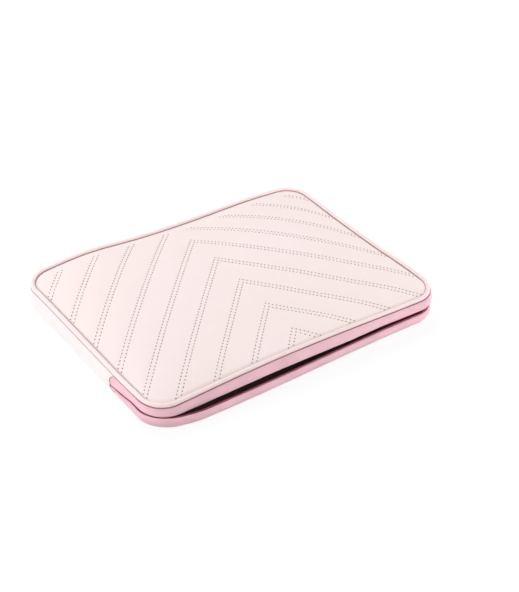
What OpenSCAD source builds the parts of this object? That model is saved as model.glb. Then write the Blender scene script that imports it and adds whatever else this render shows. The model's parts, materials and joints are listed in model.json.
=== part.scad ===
// Padded laptop sleeve: a crowned lid panel edged with corded piping, a wall all
// round, and a zip mouth along the front and round both front corners.
// X runs along the long edge, the mouth is at -Y and Z is up. The origin is the
// middle of the flat face that the sleeve rests on. Sizes are in millimetres.

/* [Body] */
// Outer length of the wall, left to right
body_l = 360; // [300:1:420]
// Outer depth of the wall, mouth to back
body_d = 272; // [230:1:320]
// Radius of the wall's corners in plan
corner_r = 29; // [22:1:44]
// Height of the wall, from the table to the piping
wall_h = 23.4; // [22:0.2:30]
// Radius of the bottom edge, where the bottom skin rolls up to the wall
edge_r = 4; // [2:0.5:5]
// Rise of the lid panel's middle above its edge
crown_h = 14; // [4:0.5:18]
// Flatness of the crown along the length
crown_x_power = 5.6; // [2:0.2:8]
// Flatness of the crown along the depth
crown_y_power = 2.8; // [2:0.2:6]

/* [Layers] */
// Thickness of the outer skin
skin_t = 1.2; // [0.8:0.1:1.6]
// Thickness of the foam padding
foam_t = 4; // [2:0.5:5]
// Thickness of the lining cloth
lining_t = 0.8; // [0.4:0.1:1.2]
// Gap between layers that lie on each other
layer_gap = 0.1; // [0.05:0.05:0.2]

/* [Piping] */
// Diameter of the piping round the lid panel
piping_d = 5.2; // [4.4:0.2:6.6]
// Thickness of the skin wrapped round the piping's cord
piping_skin_t = 0.9; // [0.6:0.1:1.2]
// Width of the binding tape over the inside seams
binding_w = 2.4; // [1.6:0.2:2.6]
// Height of the binding tape over the inside seams
binding_h = 2.2; // [1.4:0.2:2.6]

/* [Zip] */
// Height of the zip line above the table when the mouth is closed
zip_z = 13.6; // [12.8:0.2:15]
// Distance of the zip's ends behind the front face
zip_run = 80; // [74:1:100]
// Gap between the upper and the lower half of the zip
zip_gap = 1.6; // [1.6:0.1:2]
// Thickness of the zip tape
tape_t = 0.6; // [0.4:0.1:0.8]
// Height of each half of the zip's coil
coil_w = 2.2; // [1.6:0.2:2.4]
// Thickness of the zip's coil
coil_t = 1.3; // [1:0.1:1.5]
// Length of each zip stop along the zip
stop_l = 2.4; // [1.6:0.2:4]
// Length of the tab that covers each zip end inside
tab_l = 12; // [8:1:20]
// Height of the tab that covers each zip end inside
tab_h = 10; // [6:1:10]

/* [Slider] */
// Length of the zip slider along the zip
slider_l = 11; // [9:0.5:13]
// Height of the zip slider across the zip
slider_w = 8; // [6:0.5:8]
// Thickness of the slider's two plates
plate_t = 1.3; // [1:0.1:1.8]
// Thickness of the post that joins the slider's plates
post_t = 1; // [0.6:0.1:1]
// Length of the post that joins the slider's plates
post_l = 4; // [3:0.5:6]
// Length of the bridge that carries the pull
bridge_l = 6; // [5:0.5:7]
// Width of the bridge that carries the pull
bridge_w = 2; // [1.4:0.2:2.4]
// Thickness of the bridge's bar and of its legs
bridge_t = 1; // [0.8:0.1:1.2]

/* [Pull] */
// Length of the pull from its pin to its tip
pull_l = 26; // [18:1:34]
// Width of the pull's blade
pull_w = 6.4; // [6:0.2:8]
// Thickness of the pull
pull_t = 1.2; // [0.8:0.1:1.3]
// Diameter of the pull's pin
pin_d = 1.4; // [1.4:0.1:1.6]

/* [Mouth] */
// Angle at which the front lip stands open at rest
mouth_rest = 3; // [0:0.5:6]

/* [Hidden] */
// Clearance of pieces that move past each other
run_gap = 0.3;
// Gap where the soft lid and wall are divided into the rear part and the lip
split_gap = 0.3;
// Fineness of round shapes
$fn = 96;
// Steps of the crowned layers: along the length, round a corner, on the straight
crown_columns = 16;
arc_steps = 4;
rear_steps = 6;
lip_steps = 3;

// Plan of the body
front_y = -body_d / 2;
flex_y = front_y + zip_run;
rear_y = flex_y + split_gap / 2;
lip_y = flex_y - split_gap / 2;

// Wall, from the outer face inwards
wall_lining_in = skin_t + layer_gap;
wall_inner = wall_lining_in + lining_t;
tape_in = skin_t + layer_gap;
coil_in = tape_in + tape_t + layer_gap;
coil_inner = coil_in + coil_t;
binding_in = wall_inner + 2 * layer_gap;
foam_in = edge_r + layer_gap;

// Piping: it sits in the groove above the wall
piping_r = piping_d / 2;
piping_z = wall_h + sqrt(pow(piping_r, 2) - pow(piping_r - skin_t, 2)) + layer_gap;
piping_low = piping_z - piping_r - 2 * layer_gap;

// Lid panel: its skin meets the piping at the piping's middle
panel_in = piping_d + 2 * layer_gap;
panel_a = body_l / 2 - panel_in;
panel_b = body_d / 2 - panel_in;
panel_r = corner_r - panel_in;
panel_z = piping_z + skin_t / 2;
foam_z = panel_z - skin_t - layer_gap;
lid_lining_z = foam_z - foam_t - layer_gap;

// Bottom layers
bottom_lining_z = skin_t + foam_t;
bottom_binding_z = bottom_lining_z + lining_t + layer_gap;

// Zip
zip_low = zip_z - zip_gap / 2;
zip_high = zip_z + zip_gap / 2;
stop_front = lip_y - stop_l;
coil_end = stop_front - run_gap;
stop_in = coil_in + run_gap;
stop_h = 2 * coil_w + zip_gap;

// Slider, on the right side at the open end of the zip
slider_y = coil_end - slider_l / 2;
post_y = slider_y - slider_l / 2 + post_l;
pin_r = pin_d / 2;
pin_x = body_l / 2 + 2 * run_gap + plate_t + pin_r;
bridge_rise = run_gap + pin_d + run_gap;
bridge_reach = pin_r + run_gap + bridge_t;
slot_l = norm([bridge_l / 2, bridge_reach]) + 2 * run_gap;
eye_w = bridge_w + 2 * run_gap;

// The lip turns about the top of the lid panel, so that it opens clear of the rear part
function crown_y(y) = 1 - pow(min(abs(y) / panel_b, 1), crown_y_power);
function crown_x(u) = 1 - pow(abs(u), crown_x_power);
hinge_z = panel_z + crown_h * crown_y(flex_y) + layer_gap;

// Colours
blush = [0.96, 0.87, 0.85];
rose = [0.91, 0.66, 0.74];
deep_rose = [0.82, 0.45, 0.58];
foam_white = [0.93, 0.92, 0.89];
lining_rose = [0.78, 0.52, 0.58];
gold = [0.83, 0.68, 0.47];

// Plan outline of the body, drawn in by a distance from the wall's outer face
module outline(inset) {
  half_l = body_l / 2 - inset;
  half_d = body_d / 2 - inset;
  r = corner_r - inset;
  square([2 * (half_l - r), 2 * half_d], center = true);
  square([2 * half_l, 2 * (half_d - r)], center = true);
  for (x = [-1, 1], y = [-1, 1]) {
    translate([x * (half_l - r), y * (half_d - r)]) circle(r);
  }
}

// Part of the plan between two lines across the depth
module strip(y0, y1) {
  translate([-body_l, y0]) square([2 * body_l, y1 - y0]);
}

// Upright band that follows the wall, from one inset to another, between two lines
module wall_band(inset, thickness, z0, z1, y0 = -body_d, y1 = body_d) {
  translate([0, 0, z0]) linear_extrude(z1 - z0) intersection() {
    difference() {
      outline(inset);
      outline(inset + thickness);
    }
    strip(y0, y1);
  }
}

// Flat layer of the bottom
module bottom_layer(inset, z, thickness) {
  translate([0, 0, z]) linear_extrude(thickness) outline(inset);
}

// Puts the closed front lip into its rest pose
module lip_pose() {
  translate([0, flex_y, hinge_z]) rotate([-mouth_rest, 0, 0])
    translate([0, -flex_y, -hinge_z]) children();
}

// Half length of the lid panel at a depth y, with its round corners
function panel_half(y) =
  let (into = max(abs(y) - (panel_b - panel_r), 0))
  panel_a - panel_r + sqrt(max(pow(panel_r, 2) - pow(into, 2), 0));

// Depths of the rows of a crowned layer, from the dividing line out to the far edge
function layer_rows(from_y, side, straight_steps) =
  let (turn_y = side * (panel_b - panel_r))
  concat(
    [for (i = [0 : straight_steps - 1]) from_y + (turn_y - from_y) * i / straight_steps],
    [for (i = [0 : arc_steps]) turn_y + side * panel_r * sin(90 * i / arc_steps)]
  );

// One row of points across a crowned layer
function row_points(y, z) =
  [for (j = [0 : crown_columns])
    let (u = sin(180 * j / crown_columns - 90))
    [u * panel_half(y), y, z + crown_h * crown_x(u) * crown_y(y)]];

// Two triangles of a four-sided face, turned over when flip is set
function quad(a, b, c, d, flip) = flip ? [[a, c, b], [a, d, c]] : [[a, b, c], [a, c, d]];

// Closed crowned layer of the lid panel, whose top edge lies at z
module crowned_layer(z, thickness, from_y, side, straight_steps) {
  rows = layer_rows(from_y, side, straight_steps);
  m = crown_columns + 1;
  n = len(rows);
  top = [for (y = rows) each row_points(y, z)];
  low = [for (y = rows) each row_points(y, z - thickness)];
  under = m * n;
  flip = side > 0;
  sheet_faces = [for (i = [0 : n - 2], j = [0 : m - 2])
    let (a = i * m + j, b = a + 1, c = b + m, d = a + m)
    each concat(quad(a, b, c, d, flip),
                quad(a + under, b + under, c + under, d + under, !flip))];
  end_faces = [for (i = [0, n - 1], j = [0 : m - 2])
    let (a = i * m + j)
    each quad(a, a + 1, a + 1 + under, a + under, (i == 0) != flip)];
  side_faces = [for (i = [0 : n - 2], j = [0, m - 1])
    let (a = i * m + j)
    each quad(a, a + m, a + m + under, a + under, (j == 0) == flip)];
  polyhedron(concat(top, low), concat(sheet_faces, end_faces, side_faces), convexity = 6);
}

// Sweeps a section along the wall from a line across the depth round to the back or the
// front: the section's X points outwards and its Y up, and its origin lies at the inset
module edge_sweep(inset, from_y, side) {
  run_x = body_l / 2 - inset;
  run_y = body_d / 2 - inset;
  bend_r = corner_r - inset;
  long_l = 2 * (run_x - bend_r);
  turn_y = run_y - bend_r;
  start_y = side * from_y;
  mirror([0, side > 0 ? 0 : 1, 0]) {
    translate([-long_l / 2, run_y, 0]) rotate([90, 0, 90])
      linear_extrude(long_l) children();
    for (x = [0, 1]) {
      mirror([x, 0, 0]) {
        translate([run_x, turn_y, 0]) rotate([90, 0, 0])
          linear_extrude(turn_y - start_y) children();
        translate([run_x - bend_r, turn_y, 0])
          rotate_extrude(angle = 90) translate([bend_r, 0]) children();
      }
    }
  }
}

// Piping on one side of the dividing line: a ring section, or a disc for the cord
module piping_run(from_y, side, outer_r, inner_r) {
  translate([0, 0, piping_z]) edge_sweep(piping_r, from_y, side) difference() {
    circle(outer_r);
    if (inner_r > 0) circle(inner_r);
  }
}

// Section of the bottom skin's rolled edge, a quarter ring about the roll's middle
module roll_section() {
  intersection() {
    difference() {
      circle(edge_r);
      circle(edge_r - skin_t);
    }
    translate([0, -edge_r]) square(edge_r);
  }
}

// Bottom of the sleeve
module bottom_cover() {
  color(blush) {
    bottom_layer(edge_r, 0, skin_t);
    for (side = [-1, 1]) {
      translate([0, 0, edge_r]) edge_sweep(edge_r, 0, side) roll_section();
    }
  }
}

module bottom_foam() {
  color(foam_white) bottom_layer(foam_in, skin_t, foam_t);
}

module bottom_lining() {
  color(lining_rose) bottom_layer(binding_in, bottom_lining_z, lining_t);
}

module bottom_binding() {
  color(rose) wall_band(binding_in, binding_w, bottom_binding_z, bottom_binding_z + binding_h);
}

// Wall along the back and the sides
module rear_gusset() {
  color(blush) wall_band(0, skin_t, edge_r, wall_h, y0 = rear_y);
}

module rear_gusset_lining() {
  color(lining_rose) wall_band(wall_lining_in, lining_t, edge_r, piping_low, y0 = rear_y);
}

module rear_binding() {
  color(rose) wall_band(binding_in, binding_w, piping_low - binding_h, piping_low, y0 = rear_y);
}

// Rear part of the lid panel
module rear_top_cover() {
  color(blush) crowned_layer(panel_z, skin_t, rear_y, 1, rear_steps);
}

module rear_top_foam() {
  color(foam_white) crowned_layer(foam_z, foam_t, rear_y, 1, rear_steps);
}

module rear_top_lining() {
  color(lining_rose) crowned_layer(lid_lining_z, lining_t, rear_y, 1, rear_steps);
}

module rear_piping_skin() {
  color(blush) piping_run(rear_y, 1, piping_r, piping_r - piping_skin_t);
}

module rear_piping_cord() {
  color(foam_white) piping_run(rear_y, 1, piping_r - piping_skin_t - layer_gap, 0);
}

// Lower half of the zip mouth
module lower_zip_band() {
  color(rose) wall_band(0, skin_t, edge_r, zip_low, y1 = rear_y);
}

module lower_zip_tape() {
  color(deep_rose) wall_band(tape_in, tape_t, edge_r, zip_low, y1 = lip_y);
}

module lower_zip_coil() {
  color(deep_rose) wall_band(coil_in, coil_t, zip_low - coil_w, zip_low, y1 = coil_end);
}

// Tab that covers one end of the zip inside the wall
module zip_end_tab(side) {
  tab_x = body_l / 2 - wall_inner - layer_gap - lining_t / 2;
  color(rose) translate([side * tab_x, rear_y + tab_l / 2, zip_z])
    cube([lining_t, tab_l, tab_h], center = true);
}

module zip_end_tab_left() {
  zip_end_tab(-1);
}

module zip_end_tab_right() {
  zip_end_tab(1);
}

// Stop on the inner face of the tape, behind the end of the coil
module zip_stop(side, z0, z1) {
  stop_t = coil_inner - stop_in;
  stop_x = body_l / 2 - stop_in - stop_t / 2;
  color(gold) translate([side * stop_x, stop_front + stop_l / 2, (z0 + z1) / 2])
    cube([stop_t, stop_l, z1 - z0], center = true);
}

module zip_bottom_stop() {
  zip_stop(1, zip_z - stop_h / 2, zip_z + stop_h / 2);
}

module zip_top_stop_lower() {
  zip_stop(-1, zip_low - coil_w, zip_low);
}

// Front lip: the part of the lid panel and wall that opens
module lip_top_cover() {
  color(blush) lip_pose() crowned_layer(panel_z, skin_t, lip_y, -1, lip_steps);
}

module lip_top_foam() {
  color(foam_white) lip_pose() crowned_layer(foam_z, foam_t, lip_y, -1, lip_steps);
}

module lip_top_lining() {
  color(lining_rose) lip_pose() crowned_layer(lid_lining_z, lining_t, lip_y, -1, lip_steps);
}

module lip_piping_skin() {
  color(blush) lip_pose() piping_run(lip_y, -1, piping_r, piping_r - piping_skin_t);
}

module lip_piping_cord() {
  color(foam_white) lip_pose() piping_run(lip_y, -1, piping_r - piping_skin_t - layer_gap, 0);
}

module lip_binding() {
  color(rose) lip_pose() wall_band(binding_in, binding_w, piping_low - binding_h, piping_low, y1 = lip_y);
}

module upper_zip_band() {
  color(rose) lip_pose() wall_band(0, skin_t, zip_high, wall_h, y1 = lip_y);
}

module upper_zip_tape() {
  color(deep_rose) lip_pose() wall_band(tape_in, tape_t, zip_high, piping_low, y1 = lip_y);
}

module upper_zip_coil() {
  color(deep_rose) lip_pose() wall_band(coil_in, coil_t, zip_high, zip_high + coil_w, y1 = coil_end);
}

module zip_top_stop_upper() {
  lip_pose() zip_stop(-1, zip_high, zip_high + coil_w);
}

// Round-ended plate of the slider, lying in the plane of the wall
module slider_plate(x) {
  translate([x, slider_y, zip_z]) rotate([90, 0, 90]) linear_extrude(plate_t) {
    square([slider_l - slider_w, slider_w], center = true);
    for (s = [-1, 1]) {
      translate([s * (slider_l - slider_w) / 2, 0]) circle(slider_w / 2);
    }
  }
}

module zip_slider() {
  wall_x = body_l / 2;
  outer_x = wall_x + run_gap;
  inner_x = wall_x - coil_inner - run_gap;
  bridge_x = outer_x + plate_t;
  color(gold) {
    slider_plate(outer_x);
    slider_plate(inner_x - plate_t);
    translate([inner_x, post_y - post_l / 2, zip_z - post_t / 2])
      cube([outer_x - inner_x, post_l, post_t]);
    translate([bridge_x + bridge_rise, slider_y - bridge_l / 2, zip_z - bridge_w / 2])
      cube([bridge_t, bridge_l, bridge_w]);
    for (y = [-bridge_l / 2, bridge_l / 2 - bridge_t]) {
      translate([bridge_x, slider_y + y, zip_z - bridge_w / 2])
        cube([bridge_rise, bridge_t, bridge_w]);
    }
  }
}

// Pull: a pin under the bridge, two arms and a round-ended blade towards the back
module zip_pull() {
  arm_w = (pull_w - eye_w) / 2;
  blade_l = pull_l - slot_l - pull_w / 2;
  color(gold) translate([pin_x, slider_y, zip_z]) {
    cylinder(h = pull_w, d = pin_d, center = true);
    translate([-pull_t / 2, 0, 0]) rotate([90, 0, 90]) linear_extrude(pull_t) {
      for (s = [-1, 1]) {
        translate([0, s * (eye_w + arm_w) / 2 - arm_w / 2]) square([slot_l + arm_w, arm_w]);
      }
      translate([slot_l, -pull_w / 2]) square([blade_l, pull_w]);
      translate([slot_l + blade_l, 0]) circle(pull_w / 2);
    }
  }
}

bottom_cover();
bottom_foam();
bottom_lining();
bottom_binding();
rear_gusset();
rear_gusset_lining();
rear_binding();
rear_top_cover();
rear_top_foam();
rear_top_lining();
rear_piping_skin();
rear_piping_cord();
lower_zip_band();
lower_zip_tape();
lower_zip_coil();
zip_end_tab_left();
zip_end_tab_right();
zip_bottom_stop();
zip_top_stop_lower();
lip_top_cover();
lip_top_foam();
lip_top_lining();
lip_piping_skin();
lip_piping_cord();
lip_binding();
upper_zip_band();
upper_zip_tape();
upper_zip_coil();
zip_top_stop_upper();
zip_slider();
zip_pull();
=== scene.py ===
import json
import math

import bmesh
import bpy
import numpy as np
from bpy.props import FloatProperty, FloatVectorProperty, IntProperty, PointerProperty
from bpy.types import Operator, Panel, PropertyGroup
from mathutils import Matrix, Vector, noise


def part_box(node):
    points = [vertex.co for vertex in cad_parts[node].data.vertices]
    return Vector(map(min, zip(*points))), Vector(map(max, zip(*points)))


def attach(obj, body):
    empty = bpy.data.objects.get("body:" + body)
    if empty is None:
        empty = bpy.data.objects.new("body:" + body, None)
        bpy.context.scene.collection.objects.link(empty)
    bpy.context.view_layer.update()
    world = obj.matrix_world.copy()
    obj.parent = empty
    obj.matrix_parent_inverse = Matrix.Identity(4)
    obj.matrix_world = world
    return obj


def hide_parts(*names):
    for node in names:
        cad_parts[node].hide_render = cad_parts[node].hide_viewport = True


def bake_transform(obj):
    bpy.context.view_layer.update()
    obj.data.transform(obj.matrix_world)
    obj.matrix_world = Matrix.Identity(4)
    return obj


bl_info = {
    "name": "Laptop Sleeve",
    "version": (1, 0, 0),
    "blender": (4, 5, 0),
    "location": "3D View > Sidebar > Sleeve",
    "description": "Dresses the frame of a padded laptop sleeve with skins, stitching, zip and lining",
    "category": "Add Mesh",
}

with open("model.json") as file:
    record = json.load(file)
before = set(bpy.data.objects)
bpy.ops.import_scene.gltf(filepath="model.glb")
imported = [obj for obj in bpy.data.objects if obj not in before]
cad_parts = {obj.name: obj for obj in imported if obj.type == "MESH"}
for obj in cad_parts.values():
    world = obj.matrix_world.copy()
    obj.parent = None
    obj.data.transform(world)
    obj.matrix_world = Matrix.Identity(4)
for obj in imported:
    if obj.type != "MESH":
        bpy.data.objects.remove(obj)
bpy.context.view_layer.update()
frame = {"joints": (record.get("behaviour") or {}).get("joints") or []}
PHOTO_SIZE = (519, 592)
# Share of the rolled bottom edge's height at which the wall starts to swell.
SWELL_START = 0.4
# Soft waves in the lid's edge: the middle of each in plan, its reach, and how far the edge rises there.
EDGE_WAVES = (
    (-0.180, 0.125, 0.030, -0.0018),
    (-0.100, 0.136, 0.047, 0.0041),
    (0.032, 0.136, 0.078, -0.0023),
    (0.170, 0.128, 0.045, -0.0034),
    (0.180, 0.056, 0.046, -0.0022),
    (0.180, -0.082, 0.048, 0.0050),
)
# Angles, in degrees, of the points on a ribbon's round edge.
EDGE_TURNS = (45, 90, 135)
HINGE = next(joint for joint in frame["joints"] if joint["name"] == "mouth_flex")


# Settings

def size(name, description, default):
    """Length setting in metres."""
    return FloatProperty(name=name, description=description, default=default, unit="LENGTH", precision=5)


def angle(name, description, degrees):
    """Angle setting, given in degrees."""
    return FloatProperty(name=name, description=description, default=math.radians(degrees), subtype="ANGLE")


def number(name, description, default):
    """Plain number setting."""
    return FloatProperty(name=name, description=description, default=default)


def fraction(name, description, default):
    """Setting for a share between 0 and 1."""
    return FloatProperty(name=name, description=description, default=default, subtype="FACTOR", min=0, max=1)


def power(name, description, default):
    """Power setting in watts."""
    return FloatProperty(name=name, description=description, default=default, unit="POWER")


def colour(name, description, default):
    """Colour setting, as it is seen on a screen."""
    return FloatVectorProperty(
        name=name, description=description, default=default, subtype="COLOR_GAMMA", size=3, min=0, max=1
    )


class SleeveShape(PropertyGroup):
    """Sizes of the sleeve's soft forms."""

    corner: size("Corner radius", "Radius of the wall's corners in plan", 0.029)
    skin: size("Skin", "Thickness of the outer skin", 0.0012)
    lining: size("Lining", "Thickness of the lining cloth", 0.0008)
    crown_x_power: number("Crown along the length", "Flatness of the lid's crown along the length", 5.6)
    crown_y_power: number("Crown along the depth", "Flatness of the lid's crown along the depth", 2.8)
    mouth_angle: angle("Mouth angle", "Angle at which the lip stands open at rest", 3)
    bend_run: size("Bend run", "Length over which the lid bends when the mouth opens", 0.055)
    bow: size("Bow", "Rise of the lip's middle between its corners", 0.0048)
    droop: size("Droop", "Fall of the lip's left front corner below its right one", 0.0038)
    rim_lift: size("Rim lift", "Rise of the padded lid beside its rolled rim", 0.0008)
    rim_drop: size("Rim drop", "Depth to which the lid's edge rolls down beside the piping", 0.0006)
    rim_run: size("Rim run", "Width of the rolled rim of the lid", 0.0020)
    wall_bulge: size("Wall bulge", "Outward swell of the wall between its seams", 0.0004)
    band_bulge: size("Band bulge", "Outward swell of each band between its seam and the zip", 0.0018)
    pucker: size("Pucker", "Depth of the soft puckers in the wall", 0.00018)
    band_end: size("Band end", "Length by which the bands' round ends reach back", 0.0031)
    fall: size("Fall", "Fall of the upper band's edge towards its left end", 0.0055)
    fall_run: size("Fall run", "Length over which the upper band's edge falls", 0.040)
    slit: size("Slit", "Extra height of the slit at the left end of the zip", 0.0014)
    push: size("Push", "Bow of the lower half's front edge where a loaded sleeve pushes it out", 0.0080)
    edge_rise: size("Edge rise", "Rise of the lower band's edge at the left front corner", 0.0018)
    edge_flare: size("Edge flare", "Outward flare of the lower band's edge at that corner", 0.0028)
    lip_flare: size("Lip flare", "Outward flare of the upper band's edge at the middle", 0.0020)
    hang: size("Hang", "Length of zip tape that shows below the upper band at the right", 0.0034)
    front_slim: fraction("Slim front", "Share by which the piping is slimmer along the front", 0.18)
    seam_width: size("Seam width", "Diameter of the seam thread beside the piping", 0.0008)
    seam_slim: fraction("Slim seam", "Share by which the wall's seam is slimmer along the front", 0.35)


class SleeveStitching(PropertyGroup):
    """Layout of the stitched chevrons."""

    rows: IntProperty(name="Chevrons", description="Number of chevrons across the panel", default=9)
    pitch: size("Chevron pitch", "Distance from one chevron to the next along the depth", 0.04836)
    first_y: size("First chevron", "Depth at which the rearmost chevron has its point", 0.2794)
    middle_x: size("Middle", "Place of the chevron's points along the length", 0.0046)
    slope: number("Slope", "Fall of a chevron's arm for each step sideways", 1.082)
    twin_gap: size("Twin gap", "Distance between the two stitch rows of a chevron", 0.0046)
    left_pitch: size("Left stitch pitch", "Distance between stitches on the left arms", 0.00475)
    right_pitch: size("Right stitch pitch", "Distance between stitches on the right arms", 0.00395)
    stitch_share: fraction("Stitch share", "Share of the stitch pitch that the thread shows", 0.66)
    thread: size("Thread", "Width of the thread", 0.0009)
    # Size of the dark beads of painted shade that stand in for the shadow in each needle hole.
    hole_shade: size("Dip", "Size of the dark dip where a stitch goes into the panel", 0.0014)
    groove: size("Groove", "Depth to which a stitch row draws the panel in", 0.00035)
    groove_width: size("Groove width", "Half width of a stitch row's groove", 0.0018)
    puff: size("Puff", "Least swell of the padding between the stitch rows", 0.0002)
    most_puff: size("Most puff", "Most that the filling pushes the skin up between the stitch rows", 0.0008)
    hold: size("Hold", "Half width of the strip that a stitch row holds down", 0.0016)
    front_gap: size("Front gap", "Distance from the panel's front at which the rows stop", 0.0014)
    left_gap: size("Left gap", "Distance from the panel's left side at which the rows stop", 0.0014)
    right_gap: size("Right gap", "Distance from the panel's right side at which the rows stop", 0.0050)
    back_gap: size("Back gap", "Distance from the panel's back at which the rows stop", 0.0130)


class SleeveHardware(PropertyGroup):
    """Sizes of the zip's slider and pull."""

    clearance: size("Clearance", "Gap between the wall and the slider's outer plate", 0.0003)
    plate: size("Plate", "Thickness of the slider's plates", 0.0013)
    post: size("Post", "Length of the post between the slider's plates", 0.0026)
    bridge: size("Bridge", "Length of the bridge that carries the pull", 0.006)
    bridge_bar: size("Bridge bar", "Thickness of the bridge, and half its width", 0.001)
    pull: size("Pull", "Thickness of the pull's blade", 0.0012)
    eye: size("Eye", "Width of the slot between the pull's arms", 0.0026)
    slot: size("Slot", "Length of the slot between the pull's arms", 0.0042)


class SleeveColours(PropertyGroup):
    """Colours of the sleeve's finishes."""

    panel: colour("Panel", "Faux leather of the lid panel", (0.956, 0.891, 0.894))
    panel_warm: colour("Panel, warm", "Warmer drift in the panel's colour", (0.945, 0.888, 0.871))
    piping: colour("Piping", "Faux leather of the piping", (0.976, 0.900, 0.898))
    wall: colour("Wall", "Faux leather of the wall and bottom", (0.972, 0.930, 0.930))
    band: colour("Band", "Cloth bands beside the zip", (0.972, 0.792, 0.836))
    tape: colour("Zip tape", "Woven zip tape", (0.800, 0.420, 0.520))
    coil: colour("Zip coil", "Zip teeth", (0.800, 0.440, 0.540))
    thread: colour("Stitches", "Quilting thread", (0.985, 0.935, 0.928))
    # Painted shade: colour of the dark beads that stand in for the shadow in each needle hole.
    hole_shade: colour("Dips", "Dark dips at the ends of the stitches", (0.400, 0.260, 0.280))
    # Seam thread, darker than the leather beside it: partly its own colour, partly painted shade for the
    # seam's groove.
    seam: colour("Seams", "Thread in the piping's seams", (0.720, 0.545, 0.550))
    # Lining, made darker than its own rose so that the inside of the mouth reads as in shade: partly painted
    # shade.
    lining: colour("Lining", "Lining cloth", (0.330, 0.180, 0.215))
    metal: colour("Metal", "Plating of the zip's slider and stops", (0.905, 0.800, 0.690))
    floor: colour("Floor", "Studio floor", (0.930, 0.926, 0.925))


class SleeveStage(PropertyGroup):
    """Camera and light."""

    azimuth: angle("Azimuth", "Turn of the camera round the sleeve", -35.2)
    elevation: angle("Elevation", "Height of the camera above the horizon", 36.35)
    roll: angle("Roll", "Turn of the picture", 1.53)
    distance: size("Distance", "Distance of the camera from its target", 1.778)
    focal: number("Focal length", "Focal length in pixels of the photograph's frame", 1662)
    key: power("Key light", "Power of the large lamp at the left", 18.5)
    fill: power("Fill light", "Power of the large lamp behind and above", 22.2)
    front: power("Front light", "Power of the small lamp at the right front", 7.5)
    ambient: number("Ambient light", "Strength of the light from all round", 0.52)
    horizon: fraction("Horizon share", "Share of the ambient light that comes from the horizon", 0.34)
    overhead: number("Overhead share", "Share of the ambient light that comes from overhead", 1.30)


# Shared forms

def smooth_step(value):
    """Smooth rise from 0 to 1 while the value goes from 0 to 1."""
    t = np.clip(value, 0, 1)
    return t * t * (3 - 2 * t)


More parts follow.
